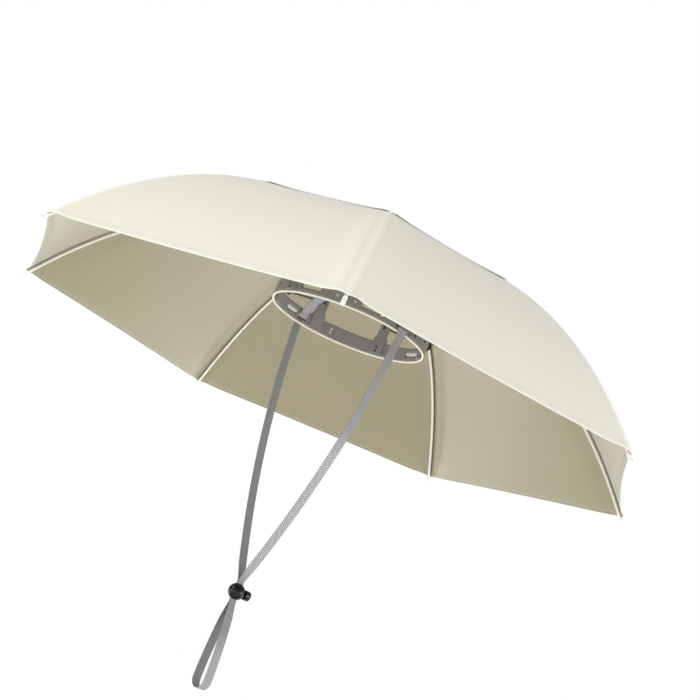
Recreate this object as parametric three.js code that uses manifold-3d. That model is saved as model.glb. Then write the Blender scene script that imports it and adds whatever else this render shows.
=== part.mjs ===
// Umbrella hat: a seven-ribbed double canopy on a plastic head ring, with a crown and chin strap.
// Millimetres, +Z up. The origin is the centre of the head ring's lowest edge, where a head enters.
import * as THREE from "three";
import { mergeVertices } from "three/addons/utils/BufferGeometryUtils.js";
import Module from "manifold-3d";

const wasm = await Module();
wasm.setup();

// Clearances between neighbouring pieces.
const SEAT_GAP = 0.3;
const RIB_GAP = 0.4;

// How far a cutting block runs past the face that it cuts.
const CUT_OVERRUN = 1;

// Canopy: the rim's corners lie on the ribs, and the dome follows one power curve along each rib.
const RIB_COUNT = 7;
const FIRST_RIB_ANGLE = -90;
const CANOPY_RADIUS = 420;
const CANOPY_RISE = 185.5;
const DOME_POWER = 2.7;
const RIM_DROP = 67;
const CLOTH = 1;
const PANEL_SAG = 5.6;
const VENT_HOLE_RADIUS = 150;
const VENT_CANOPY_RADIUS = 193;
const ROW_LENGTH = 24;
const PANEL_COLUMNS = 6;

// Vent tabs, the short white bands that hold the vent canopy's corners.
const TAB_LENGTH = 14;
const TAB_WIDTH = 4.5;
const TAB_THICKNESS = 1.6;

// Ribs, their end caps and the hub that holds them.
const RIB_DIAMETER = 3.4;
const RIB_SIDES = 8;
const CAP_DIAMETER = 5.2;
const CAP_LENGTH = 12.5;
const CAP_FLOOR = 3;
const CAP_END = [
  { reach: 1, rise: 0 },
  { reach: 0.7, rise: 0.7 },
  { reach: 0, rise: 1 },
];
const HUB_RADIUS = 24;
const HUB_CORE_RADIUS = 12;
const HUB_DEPTH = 12;
const HUB_CHAMFER = 2;
const FERRULE_RADIUS = 12.4;
const FERRULE_HEIGHT = 6.5;
const FERRULE_OUTLINE = [
  { reach: 1, rise: 0 },
  { reach: 1, rise: 0.35 },
  { reach: 0.9, rise: 0.75 },
  { reach: 0.68, rise: 1 },
];
const FERRULE_DIMPLE_RADIUS = 4.2;
const FERRULE_DIMPLE_DEPTH = 2.2;
const STEM_RADIUS = 3.4;
const STEM_DEPTH = 9;
const STEM_HOLE_SPARE = 1.2;

// Rib clamps and the stretchers that brace the ribs from the ring's posts.
const CLAMP_RADIUS = 239;
const CLAMP_LENGTH = 15;
const CLAMP_WIDTH = 9.5;
const CLAMP_WALL = 2;
const CLEVIS_LENGTH = 8;
const CLEVIS_DEPTH = 8;
const STRETCHER_DIAMETER = 3.2;

// Head ring: a thin band with a post at each rib.
const RING_RADIUS = 99.5;
const RING_WALL = 2.6;
const RING_HEIGHT = 17;
const RING_SEGMENTS = 70;
const PIPING_DIAMETER = 3.5;
const POST_WIDTH = 17;
const POST_NECK_WIDTH = 12;
const POST_NECK_RISE = 8;
const POST_DEPTH = 6;
const POST_PROUD = 1.2;
const POST_HEIGHT = 42;
const POST_SLOT_DEPTH = 8;

// Cut-outs of the band, as angles in degrees round the ring.
const RAIL_HEIGHT = 5;
const NOTCHES = [
  { from: -80, to: -64 },
  { from: -34, to: -20 },
];
const WINDOW_HEIGHT = 5;
const WINDOW_SILL = 6;
const WINDOWS = [
  { from: 187, to: 198 },
  { from: 72, to: 87 },
];

// Webbing: one loop over the crown, out through the ring at both sides and down under the chin.
const WEBBING_WIDTH = 12;
const WEBBING_THICKNESS = 1.4;
const PINCHED_WIDTH = 9.2;
const PINCH_START = 2;
const PINCH_END = 26;
const SLOT_SPARE = 1.6;
const SLOT_HEIGHT = 7.6;
const SLOT_SILL = 1.6;
const SLOT_TOP_GAP = 0.6;
const SLOT_FOOT_GAP = 0.8;
const CROWN_END_INSET = 1;
const CROWN_RISE = 42;
const LOCK_DROP = 343;
const LEG_BEND_DROP = 3;
const LEG_END_SPREAD = 1.2;
const LEG_BOW = 16.5;
const LOCK_ENTRY = 6;
const LOCK_LEAD_IN = 1;
const LOOP_LENGTH = 109;
const LOOP_WIDTH = 22;
const LOOP_FULLNESS = 1.3;
const LOOP_LEAN = 5;

// Cord lock on the chin strap: a ball with a sprung button.
const LOCK_RADIUS = 10.2;
const LOCK_FLAT_RADIUS = 9.4;
const BUTTON_RADIUS = 6;
const BUTTON_LENGTH = 8;
const BUTTON_EDGE = 1.2;
const BUTTON_STEM_RADIUS = 3.9;
const BUTTON_TRAVEL = 2.5;

const rad = THREE.MathUtils.degToRad;
const ribAngles = Array.from(
  { length: RIB_COUNT },
  (_, k) => rad(FIRST_RIB_ANGLE) + (k * 2 * Math.PI) / RIB_COUNT,
);
const bandFoot = PIPING_DIAMETER + SEAT_GAP;
const bandTop = bandFoot + RING_HEIGHT;
const postTop = bandFoot + POST_HEIGHT;
const ringInner = RING_RADIUS - RING_WALL;
const postMiddle = RING_RADIUS + POST_PROUD - POST_DEPTH / 2;

const materials = {
  cloth: new THREE.MeshStandardMaterial({ color: 0xe9e5d6, roughness: 0.85 }),
  white: new THREE.MeshStandardMaterial({ color: 0xf4f1e4, roughness: 0.4 }),
  grey: new THREE.MeshStandardMaterial({ color: 0x837f84, roughness: 0.45 }),
  black: new THREE.MeshStandardMaterial({ color: 0x0b0b0c, roughness: 0.2 }),
  webbing: new THREE.MeshStandardMaterial({ color: 0x8f8e94, roughness: 0.9 }),
};

function meshFrom(name, geometry, material) {
  const mesh = new THREE.Mesh(geometry, material);
  mesh.name = name;
  return mesh;
}

// Booleans.

function toSolid(geometry) {
  const bare = geometry.clone();
  bare.deleteAttribute("normal");
  bare.deleteAttribute("uv");
  const merged = mergeVertices(bare, 1e-4);
  return new wasm.Manifold(
    new wasm.Mesh({
      numProp: 3,
      vertProperties: merged.attributes.position.array,
      triVerts: new Uint32Array(merged.index.array),
    }),
  );
}

function toGeometry(solid) {
  const mesh = solid.getMesh();
  return new THREE.BufferGeometry()
    .setAttribute("position", new THREE.BufferAttribute(mesh.vertProperties, 3))
    .setIndex(new THREE.BufferAttribute(mesh.triVerts, 1));
}

function box(sizeX, sizeY, sizeZ, x, y, z) {
  return new THREE.BoxGeometry(sizeX, sizeY, sizeZ).translate(x, y, z);
}

function closedMesh(positions, indices) {
  return new THREE.BufferGeometry()
    .setAttribute("position", new THREE.Float32BufferAttribute(positions, 3))
    .setIndex(indices);
}

// The dome's section in the vertical plane of a rib: x is the distance from the axis.

function domeHeight(r) {
  return CANOPY_RISE * (1 - (r / CANOPY_RADIUS) ** DOME_POWER) - RIM_DROP;
}

function domeSlope(r) {
  const share = r / CANOPY_RADIUS;
  return (-CANOPY_RISE * DOME_POWER * share ** (DOME_POWER - 1)) / CANOPY_RADIUS;
}

function domeTangent(r) {
  return new THREE.Vector2(1, domeSlope(r)).normalize();
}

// A point at a depth under the cloth's outer face; beyond the rim it runs on straight.
function domePoint(r, depth) {
  const onDome = Math.min(r, CANOPY_RADIUS);
  const tangent = domeTangent(onDome);
  const normal = new THREE.Vector2(-tangent.y, tangent.x);
  return new THREE.Vector2(onDome, domeHeight(onDome))
    .addScaledVector(normal, -depth)
    .addScaledVector(tangent, (r - onDome) / tangent.x);
}

const halfPanel = Math.PI / RIB_COUNT;

// Half of the turn that the cloth makes at a rib, seen from above, where its panels hollow most.
const ridgeTurn = halfPanel + (2 * PANEL_SAG) / (CANOPY_RADIUS * Math.sin(halfPanel));

// A rod under the ridge between two panels lies deeper than it would under flat cloth.
function ridgeCosine() {
  const slope = domeSlope(CANOPY_RADIUS);
  return Math.hypot(1, slope) / Math.hypot(1, slope / Math.cos(ridgeTurn));
}

// How much the panels fall away on each side of a rib, for each millimetre across it.
function ridgeDrop(r) {
  const slope = Math.abs(domeSlope(r));
  return (slope * Math.tan(ridgeTurn)) / Math.hypot(1, slope);
}

const ribDepth = CLOTH + (RIB_DIAMETER / 2 + RIB_GAP) / ridgeCosine();
const tabFall = (ridgeDrop(VENT_CANOPY_RADIUS + TAB_LENGTH / 2) * TAB_WIDTH) / 2;
const ventLift = TAB_THICKNESS + 2 * SEAT_GAP + tabFall;

// Canopies.

// A cloth shell between two distances from the axis. Between two ribs each panel hollows inwards,
// most at the rim, at the height that it has on the ribs.
function canopyShell(inner, outer, topDepth) {
  const rows = Math.max(3, Math.round((outer - inner) / ROW_LENGTH));
  const columns = RIB_COUNT * PANEL_COLUMNS;
  const positions = [];
  const indices = [];
  for (const depth of [topDepth, topDepth + CLOTH])
    for (let c = 0; c < columns; c++) {
      const rib = Math.floor(c / PANEL_COLUMNS);
      const across = (c % PANEL_COLUMNS) / PANEL_COLUMNS;
      const a = ribAngles[rib];
      const b = ribAngles[(rib + 1) % RIB_COUNT];
      for (let i = 0; i <= rows; i++) {
        const r = inner + ((outer - inner) * i) / rows;
        const section = domePoint(r, depth);
        const hollow = PANEL_SAG * (r / CANOPY_RADIUS) ** 2 * 4 * across * (1 - across);
        const reach = section.x - hollow / Math.cos(halfPanel);
        positions.push(
          reach * THREE.MathUtils.lerp(Math.cos(a), Math.cos(b), across),
          reach * THREE.MathUtils.lerp(Math.sin(a), Math.sin(b), across),
          section.y,
        );
      }
    }
  const at = (side, c, i) => (side * columns + (c % columns)) * (rows + 1) + i;
  const quad = (a, b, c, d) => indices.push(a, b, c, a, c, d);
  for (let c = 0; c < columns; c++) {
    for (let i = 0; i < rows; i++) {
      quad(at(0, c, i), at(0, c, i + 1), at(0, c + 1, i + 1), at(0, c + 1, i));
      quad(at(1, c, i), at(1, c + 1, i), at(1, c + 1, i + 1), at(1, c, i + 1));
    }
    quad(at(0, c, rows), at(1, c, rows), at(1, c + 1, rows), at(0, c + 1, rows));
    quad(at(0, c, 0), at(0, c + 1, 0), at(1, c + 1, 0), at(1, c, 0));
  }
  return closedMesh(positions, indices);
}

// Ribs.

class RibLine extends THREE.Curve {
  constructor(from, to, depth) {
    super();
    Object.assign(this, { from, to, depth });
  }
  getPoint(t, target = new THREE.Vector3()) {
    const p = domePoint(THREE.MathUtils.lerp(this.from, this.to, t), this.depth);
    return target.set(p.x, 0, p.y);
  }
}

function roundSection(radius, sides) {
  const shape = new THREE.Shape();
  for (let i = 0; i < sides; i++) {
    const a = ((i + 0.5) * 2 * Math.PI) / sides;
    if (i === 0) shape.moveTo(radius * Math.cos(a), radius * Math.sin(a));
    else shape.lineTo(radius * Math.cos(a), radius * Math.sin(a));
  }
  return shape;
}

// Places a piece, made along +X, on a rib: r is its distance from the axis, and +Z faces out of the dome.
function placeOnRib(mesh, r, depth) {
  const place = domePoint(r, depth);
  const tangent = domeTangent(Math.min(r, CANOPY_RADIUS));
  mesh.position.set(place.x, 0, place.y);
  mesh.rotation.y = -Math.atan2(tangent.y, tangent.x);
  return mesh;
}

const capStart = CANOPY_RADIUS + CLOTH + SEAT_GAP;
const capReach = (CAP_LENGTH - CAP_FLOOR - SEAT_GAP) * domeTangent(CANOPY_RADIUS).x;
const hubTop = CANOPY_RISE - RIM_DROP + ventLift - SEAT_GAP;
const ribInnerEnd = HUB_CORE_RADIUS + SEAT_GAP;

function ribRod() {
  const line = new RibLine(ribInnerEnd, capStart + capReach, ribDepth);
  const steps = Math.round((CANOPY_RADIUS - ribInnerEnd) / ROW_LENGTH);
  return new THREE.ExtrudeGeometry(roundSection(RIB_DIAMETER / 2, RIB_SIDES), {
    steps,
    bevelEnabled: false,
    extrudePath: line,
  });
}

// The end cap is a blind sleeve: its open end faces the cloth's corner, its round end points outwards.
function ribCap() {
  const bore = RIB_DIAMETER / 2 + SEAT_GAP;
  const wall = CAP_DIAMETER / 2;
  const crown = wall / 2;
  const profile = [
    [0, CAP_LENGTH - CAP_FLOOR],
    [bore, CAP_LENGTH - CAP_FLOOR],
    [bore, 0],
    [wall, 0],
    ...CAP_END.map(({ reach, rise }) => [wall * reach, CAP_LENGTH - crown * (1 - rise)]),
  ].map(([x, y]) => new THREE.Vector2(x, y));
  return new THREE.LatheGeometry(profile, RIB_SIDES).rotateZ(-Math.PI / 2);
}

// The clamp is a channel that holds the rib from below, with two ears for the stretcher under it.
function ribClamp() {
  const bore = RIB_DIAMETER / 2 + RIB_GAP;
  const half = bore + CLAMP_WALL;
  const lip = RIB_DIAMETER / 4;
  const channel = toSolid(box(CLAMP_LENGTH, 2 * half, half + lip, 0, 0, (lip - half) / 2));
  const earHeight = CLEVIS_DEPTH + CLAMP_WALL / 2;
  const earMiddle = earHeight / 2 - CLEVIS_DEPTH - half;
  const ears = toSolid(box(CLEVIS_LENGTH, CLAMP_WIDTH, earHeight, 0, 0, earMiddle));
  const hole = toSolid(
    new THREE.CylinderGeometry(bore, bore, 2 * CLAMP_LENGTH, RIB_SIDES, 1)
      .rotateY(Math.PI / RIB_SIDES)
      .rotateZ(Math.PI / 2),
  );
  const gap = STRETCHER_DIAMETER + 2 * SEAT_GAP;
  const slotMiddle = -half - SEAT_GAP - CLEVIS_DEPTH / 2;
  const slot = toSolid(box(2 * CLEVIS_LENGTH, gap, CLEVIS_DEPTH, 0, 0, slotMiddle));
  return toGeometry(channel.add(ears).subtract(hole).subtract(slot));
}

// The stretcher runs from the slot in the ring's post to the slot in the rib's clamp.
function stretcherEnds() {
  const half = RIB_DIAMETER / 2 + RIB_GAP + CLAMP_WALL;
  const upper = domePoint(CLAMP_RADIUS, ribDepth + half + SEAT_GAP + CLEVIS_DEPTH / 2);
  const lower = new THREE.Vector2(postMiddle, postTop - POST_SLOT_DEPTH / 2);
  return { lower, upper };
}

function stretcher(name) {
  const { lower, upper } = stretcherEnds();
  const length = lower.distanceTo(upper) + CLEVIS_LENGTH / 2;
  const middle = lower.clone().add(upper).multiplyScalar(0.5);
  const radius = STRETCHER_DIAMETER / 2;
  const rod = new THREE.CylinderGeometry(radius, radius, length, RIB_SIDES, 1);
  const mesh = meshFrom(name, rod.rotateZ(-Math.PI / 2), materials.black);
  mesh.position.set(middle.x, 0, middle.y);
  mesh.rotation.y = -Math.atan2(upper.y - lower.y, upper.x - lower.x);
  return mesh;
}

// The ends of the tab that lies along the rib, under the vent canopy's corner.
function ventTab() {
  const middle = -SEAT_GAP - TAB_THICKNESS / 2;
  const from = domePoint(VENT_CANOPY_RADIUS - TAB_LENGTH / 2, middle);
  const to = domePoint(VENT_CANOPY_RADIUS + TAB_LENGTH / 2, middle);
  return { from, to };
}

function ribAssembly(k) {
  const group = new THREE.Group();
  const tag = "_" + (k + 1);
  group.rotation.z = ribAngles[k];
  group.add(meshFrom("rib" + tag, ribRod(), materials.white));
  group.add(placeOnRib(meshFrom("rib_cap" + tag, ribCap(), materials.white), capStart, ribDepth));
  group.add(
    placeOnRib(meshFrom("rib_clamp" + tag, ribClamp(), materials.black), CLAMP_RADIUS, ribDepth),
  );
  group.add(stretcher("stretcher" + tag));
  const { from, to } = ventTab();
  const length = from.distanceTo(to);
  const tab = meshFrom(
    "vent_tab" + tag,
    new THREE.BoxGeometry(length, TAB_WIDTH, TAB_THICKNESS),
    materials.white,
  );
  tab.position.set((from.x + to.x) / 2, 0, (from.y + to.y) / 2);
  tab.rotation.y = -Math.atan2(to.y - from.y, to.x - from.x);
  group.add(tab);
  return group;
}

// Hub and ferrule.

function lathe(profile, segments) {
  const points = profile.map(([r, z]) => new THREE.Vector2(r, z));
  return new THREE.LatheGeometry(points, segments).rotateX(Math.PI / 2);
}

function hub() {
  const disc = lathe(
    [
      [STEM_RADIUS + SEAT_GAP, hubTop - HUB_DEPTH],
      [HUB_RADIUS - HUB_CHAMFER, hubTop - HUB_DEPTH],
      [HUB_RADIUS, hubTop - HUB_DEPTH + HUB_CHAMFER],
      [HUB_RADIUS, hubTop],
      [STEM_RADIUS + SEAT_GAP, hubTop],
      [STEM_RADIUS + SEAT_GAP, hubTop - HUB_DEPTH],
    ],
    4 * RIB_COUNT,
  );
  const ribMiddle = domePoint(HUB_RADIUS, ribDepth).y;
  const slotTop = ribMiddle + RIB_DIAMETER / 2 + 2 * SEAT_GAP;
  const slotHeight = slotTop - hubTop + HUB_DEPTH + CUT_OVERRUN;
  const slotLength = 2 * (HUB_RADIUS - HUB_CORE_RADIUS);
  let solid = toSolid(disc);
  for (const angle of ribAngles) {
    const slot = box(
      slotLength,
      RIB_DIAMETER + 2 * SEAT_GAP,
      slotHeight,
      HUB_CORE_RADIUS + slotLength / 2,
      0,
      slotTop - slotHeight / 2,
    ).rotateZ(angle);
    solid = solid.subtract(toSolid(slot));
  }
  return toGeometry(solid);
}

function ferrule() {
  const foot = hubTop + 2 * SEAT_GAP + CLOTH;
  const top = foot + FERRULE_HEIGHT;
  return lathe(
    [
      [0, foot - STEM_DEPTH],
      [STEM_RADIUS, foot - STEM_DEPTH],
      [STEM_RADIUS, foot],
      ...FERRULE_OUTLINE.map(({ reach, rise }) => [
        FERRULE_RADIUS * reach,
        foot + FERRULE_HEIGHT * rise,
      ]),
      [FERRULE_DIMPLE_RADIUS, top],
      [FERRULE_DIMPLE_RADIUS * 0.8, top - FERRULE_DIMPLE_DEPTH],
      [0, top - FERRULE_DIMPLE_DEPTH],
    ],
    24,
  );
}

// Head ring.

// A block that fills a stretch of the ring between two angles in degrees.
function ringSector(inner, outer, from, to, foot, height) {
  const shape = new THREE.Shape();
  shape.absarc(0, 0, outer, rad(from), rad(to), false);
  shape.absarc(0, 0, inner, rad(to), rad(from), true);
  return new THREE.ExtrudeGeometry(shape, {
    depth: height,
    bevelEnabled: false,
    curveSegments: 6,
  }).translate(0, 0, foot);
}

function postBlocks(angle) {
  const shoulder = RING_HEIGHT + POST_NECK_RISE;
  const neckMiddle = bandFoot + POST_HEIGHT / 2;
  const foot = box(POST_DEPTH, POST_WIDTH, shoulder, postMiddle, 0, bandFoot + shoulder / 2);
  const neck = box(POST_DEPTH, POST_NECK_WIDTH, POST_HEIGHT, postMiddle, 0, neckMiddle);
  return toSolid(foot.rotateZ(angle)).add(toSolid(neck.rotateZ(angle)));
}

function postSlot(angle) {
  const width = STRETCHER_DIAMETER + 2 * SEAT_GAP;
  const height = POST_SLOT_DEPTH + CUT_OVERRUN;
  const slotMiddle = postTop - POST_SLOT_DEPTH + height / 2;
  const slot = box(4 * POST_DEPTH, width, height, postMiddle, 0, slotMiddle);
  return toSolid(slot.rotateZ(angle));
}

function headRing() {
  let ring = toSolid(
    lathe(
      [
        [ringInner, bandFoot],
        [RING_RADIUS, bandFoot],
        [RING_RADIUS, bandTop],
        [ringInner, bandTop],
        [ringInner, bandFoot],
      ],
      RING_SEGMENTS,
    ),
  );
  const inner = ringInner - CUT_OVERRUN;
  const outer = RING_RADIUS + CUT_OVERRUN;
  for (const { from, to } of NOTCHES) {
    const height = RING_HEIGHT - RAIL_HEIGHT + CUT_OVERRUN;
    const notch = ringSector(inner, outer, from, to, bandFoot + RAIL_HEIGHT, height);
    ring = ring.subtract(toSolid(notch));
  }
  for (const { from, to } of WINDOWS) {
    const window = ringSector(inner, outer, from, to, bandFoot + WINDOW_SILL, WINDOW_HEIGHT);
    ring = ring.subtract(toSolid(window));
  }
  for (const angle of ribAngles) ring = ring.add(postBlocks(angle));
  for (const angle of ribAngles) ring = ring.subtract(postSlot(angle));
  const slotWidth = WEBBING_WIDTH + SLOT_SPARE;
  const slotMiddle = bandFoot + SLOT_SILL + SLOT_HEIGHT / 2;
  const strapSlots = box(4 * RING_RADIUS, slotWidth, SLOT_HEIGHT, 0, 0, slotMiddle);
  return toGeometry(ring.subtract(toSolid(strapSlots)));
}

function piping() {
  const middle = (RING_RADIUS + ringInner) / 2;
  return new THREE.TorusGeometry(middle, PIPING_DIAMETER / 2, 6, RING_SEGMENTS).translate(
    0,
    0,
    PIPING_DIAMETER / 2,
  );
}

// Webbing.

const loopTop = -LOCK_DROP - LOCK_RADIUS - LOCK_LEAD_IN;

// Half of the loop's middle line in the XZ plane, from the top of the crown to the foot of the chin loop.
function strapRoute() {
  const slotFoot = bandFoot + SLOT_SILL;
  const half = WEBBING_THICKNESS / 2;
  const crownEnd = new THREE.Vector2(
    ringInner - half - CROWN_END_INSET,
    slotFoot + SLOT_HEIGHT - half - SLOT_TOP_GAP,
  );
  const outside = new THREE.Vector2(RING_RADIUS + half + POST_PROUD, slotFoot + half + SLOT_FOOT_GAP);
  const points = [];
  const archSteps = 14;
  for (let i = 0; i <= archSteps; i++) {
    const a = ((Math.PI / 2) * i) / archSteps;
    points.push([crownEnd.x * Math.sin(a), crownEnd.y + CROWN_RISE * Math.cos(a)]);
  }
  points.push([outside.x, outside.y]);
  const lockMiddle = -LOCK_DROP;
  const entry = lockMiddle + LOCK_RADIUS + LOCK_ENTRY;
  const beside = half + SEAT_GAP / 2;
  const legSteps = 10;
  for (let i = 0; i <= legSteps; i++) {
    const t = i / legSteps;
    const bow = LEG_BOW * 4 * t * (1 - t);
    points.push([
      THREE.MathUtils.lerp(outside.x, beside + LEG_END_SPREAD, t) + bow,
      THREE.MathUtils.lerp(outside.y - LEG_BEND_DROP, entry, t),
    ]);
  }
  points.push([beside, lockMiddle + LOCK_RADIUS + LOCK_LEAD_IN]);
  points.push([beside, loopTop]);
  const loopHalf = LOOP_WIDTH / 2;
  const loopFoot = lockMiddle - LOCK_RADIUS - LOOP_LENGTH;
  const loopSteps = 7;
  for (let i = 1; i <= loopSteps; i++) {
    const t = i / loopSteps;
    points.push([
      beside + (loopHalf - beside) * Math.sin((t * Math.PI) / 2) ** LOOP_FULLNESS,
      THREE.MathUtils.lerp(loopTop, loopFoot + loopHalf, t),
    ]);
  }
  const turnSteps = 4;
  for (let i = 1; i <= turnSteps; i++) {
    const a = (i * Math.PI) / 2 / turnSteps;
    points.push([loopHalf * Math.cos(a), loopFoot + loopHalf - loopHalf * Math.sin(a)]);
  }
  return points.map(([x, z]) => new THREE.Vector2(x, z));
}

function strapWidth(z) {
  const fromLock = Math.abs(z + LOCK_DROP) - LOCK_RADIUS;
  const open = THREE.MathUtils.smoothstep(fromLock, PINCH_START, PINCH_END);
  return THREE.MathUtils.lerp(PINCHED_WIDTH, WEBBING_WIDTH, open);
}

function strap() {
  const right = strapRoute();
  const left = right
    .slice(1, -1)
    .reverse()
    .map((p) => new THREE.Vector2(-p.x, p.y));
  const lean = (z) => (LOOP_LEAN * Math.max(0, loopTop - z)) / LOOP_LENGTH;
  const route = [...right, ...left].map((p) => new THREE.Vector2(p.x + lean(p.y), p.y));
  const count = route.length;
  const positions = [];
  const indices = [];
  route.forEach((p, i) => {
    const before = route[(i + count - 1) % count].clone().sub(p).normalize();
    const after = route[(i + 1) % count].clone().sub(p).normalize();
    const along = after.clone().sub(before).normalize();
    const side = new THREE.Vector2(-along.y, along.x);
    const straight = Math.max(0.5, Math.abs(side.dot(new THREE.Vector2(-after.y, after.x))));
    const half = WEBBING_THICKNESS / 2 / straight;
    const width = strapWidth(p.y) / 2;
    for (const [s, w] of [
      [1, 1],
      [1, -1],
      [-1, -1],
      [-1, 1],
    ])
      positions.push(p.x + s * half * side.x, w * width, p.y + s * half * side.y);
  });
  for (let i = 0; i < count; i++)
    for (let j = 0; j < 4; j++) {
      const a = 4 * i + j;
      const b = 4 * i + ((j + 1) % 4);
      const c = 4 * ((i + 1) % count) + ((j + 1) % 4);
      const d = 4 * ((i + 1) % count) + j;
      indices.push(a, b, c, a, c, d);
    }
  return closedMesh(positions, indices);
}

// Cord lock, made at its own middle with the button along +Y. The ball is cut flat above and below,
// and under the button's head.

const lockSlotHalf = PINCHED_WIDTH / 2 + SEAT_GAP;
const buttonSeat = Math.sqrt(LOCK_RADIUS ** 2 - BUTTON_RADIUS ** 2);
const buttonFace = buttonSeat + BUTTON_TRAVEL + SEAT_GAP;
const stemEnd = lockSlotHalf + BUTTON_TRAVEL + SEAT_GAP;

function lockBody() {
  const ball = new THREE.SphereGeometry(LOCK_RADIUS, 16, 12).rotateX(Math.PI / 2);
  const slotDepth = 2 * WEBBING_THICKNESS + 3 * SEAT_GAP;
  const slot = box(slotDepth, 2 * lockSlotHalf, 4 * LOCK_RADIUS, 0, 0, 0);
  const boreLength = 2 * LOCK_RADIUS;
  const boreRadius = BUTTON_STEM_RADIUS + SEAT_GAP;
  const bore = new THREE.CylinderGeometry(boreRadius, boreRadius, boreLength, 16, 1).translate(
    0,
    lockSlotHalf - SEAT_GAP + boreLength / 2,
    0,
  );
  const trimDepth = buttonSeat + 2 * LOCK_RADIUS;
  const trimMiddle = buttonSeat - trimDepth / 2;
  const trim = box(4 * LOCK_RADIUS, trimDepth, 2 * LOCK_FLAT_RADIUS, 0, trimMiddle, 0);
  return toGeometry(
    toSolid(ball).intersect(toSolid(trim)).subtract(toSolid(slot)).subtract(toSolid(bore)),
  );
}

function lockButton() {
  const end = buttonFace + BUTTON_LENGTH;
  const profile = [
    [0, stemEnd],
    [BUTTON_STEM_RADIUS, stemEnd],
    [BUTTON_STEM_RADIUS, buttonFace],
    [BUTTON_RADIUS, buttonFace],
    [BUTTON_RADIUS, end - BUTTON_EDGE],
    [BUTTON_RADIUS - BUTTON_EDGE, end],
    [0, end],
  ].map(([x, y]) => new THREE.Vector2(x, y));
  return new THREE.LatheGeometry(profile, 16);
}

// Assembly.

const hat = new THREE.Group();
const canopy = canopyShell(VENT_HOLE_RADIUS, CANOPY_RADIUS, 0);
const stemHole = STEM_RADIUS + STEM_HOLE_SPARE;
const ventCanopy = canopyShell(stemHole, VENT_CANOPY_RADIUS, -ventLift - CLOTH);
hat.add(meshFrom("canopy", canopy, materials.cloth));
hat.add(meshFrom("vent_canopy", ventCanopy, materials.cloth));
for (let k = 0; k < RIB_COUNT; k++) hat.add(ribAssembly(k));
hat.add(meshFrom("hub", hub(), materials.white));
hat.add(meshFrom("ferrule", ferrule(), materials.grey));
hat.add(meshFrom("head_ring", headRing(), materials.grey));
hat.add(meshFrom("ring_piping", piping(), materials.white));
hat.add(meshFrom("strap", strap(), materials.webbing));

const lock = new THREE.Group();
lock.position.z = -LOCK_DROP;
lock.add(meshFrom("lock_body", lockBody(), materials.black));
lock.add(meshFrom("lock_button", lockButton(), materials.black));
hat.add(lock);

export default hat;
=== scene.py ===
# %% [markdown]
# # An umbrella hat in Blender
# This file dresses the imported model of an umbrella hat: a seven-ribbed canopy on a plastic head ring,
# held by webbing over the crown and under the chin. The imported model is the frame. It gives every
# piece its place, in metres with +Z up, and this file gives the pieces their fine shape and finish.
#
# The frame comes first, because the sizes that follow are read from it.

# %% Load the frame
import math

import bmesh
import bpy
import numpy as np
from mathutils import Matrix, Vector


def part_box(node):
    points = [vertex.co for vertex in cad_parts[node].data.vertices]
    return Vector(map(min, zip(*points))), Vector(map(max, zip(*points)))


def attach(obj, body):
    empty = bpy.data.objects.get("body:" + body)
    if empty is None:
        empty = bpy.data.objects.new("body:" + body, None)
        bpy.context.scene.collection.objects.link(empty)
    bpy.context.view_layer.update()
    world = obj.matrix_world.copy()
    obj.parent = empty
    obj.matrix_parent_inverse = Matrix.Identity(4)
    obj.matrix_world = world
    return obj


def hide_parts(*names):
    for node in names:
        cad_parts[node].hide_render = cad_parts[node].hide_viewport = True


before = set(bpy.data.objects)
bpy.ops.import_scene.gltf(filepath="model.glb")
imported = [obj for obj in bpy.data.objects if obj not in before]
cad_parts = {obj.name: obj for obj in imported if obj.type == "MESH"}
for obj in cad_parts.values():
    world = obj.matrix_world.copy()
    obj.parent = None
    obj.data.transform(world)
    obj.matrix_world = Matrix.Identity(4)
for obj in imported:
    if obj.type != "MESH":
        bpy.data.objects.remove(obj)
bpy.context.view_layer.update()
MM = 0.001

# %% [markdown]
# ## The camera
# A picture is easiest to match when the camera is settled before anything is made. The hat is seen
# from in front and a little below, and the camera is rolled, so the hat leans in the picture. The
# camera could be turned with Euler angles, but three axes built from an azimuth, an elevation and a
# roll say plainly what each number does. The small shift frames the hat off centre without turning
# the camera.

# %% Place the camera
CAMERA_AZIMUTH = math.radians(53.1734)
CAMERA_ELEVATION = math.radians(-11.1542)
CAMERA_ROLL = math.radians(22.8237)
CAMERA_DISTANCE = 1.83007
CAMERA_TARGET = Vector((0.0, 0.0, -0.067))
CAMERA_LENS = 77.805
CAMERA_SHIFT = (0.03439, 0.04144)


def camera_axes():
    """The camera's right, up and backward directions."""
    back = Vector(
        (
            math.sin(CAMERA_AZIMUTH) * math.cos(CAMERA_ELEVATION),
            -math.cos(CAMERA_AZIMUTH) * math.cos(CAMERA_ELEVATION),
            math.sin(CAMERA_ELEVATION),
        )
    )
    level = Vector((0, 0, 1)).cross(back).normalized()
    upright = back.cross(level)
    right = math.cos(CAMERA_ROLL) * level + math.sin(CAMERA_ROLL) * upright
    up = -math.sin(CAMERA_ROLL) * level + math.cos(CAMERA_ROLL) * upright
    return right, up, back


camera_data = bpy.data.cameras.new("camera")
camera_data.lens = CAMERA_LENS
camera_data.shift_x, camera_data.shift_y = CAMERA_SHIFT
camera_data.clip_end = 50
camera = bpy.data.objects.new("camera", camera_data)
bpy.context.scene.collection.objects.link(camera)
right, up, back = camera_axes()
camera.matrix_world = Matrix.Translation(CAMERA_TARGET + CAMERA_DISTANCE * back) @ Matrix(
    (right, up, back)
).transposed().to_4x4()
bpy.context.scene.camera = camera
print("camera at", [round(x, 3) for x in camera.matrix_world.translation])

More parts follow.
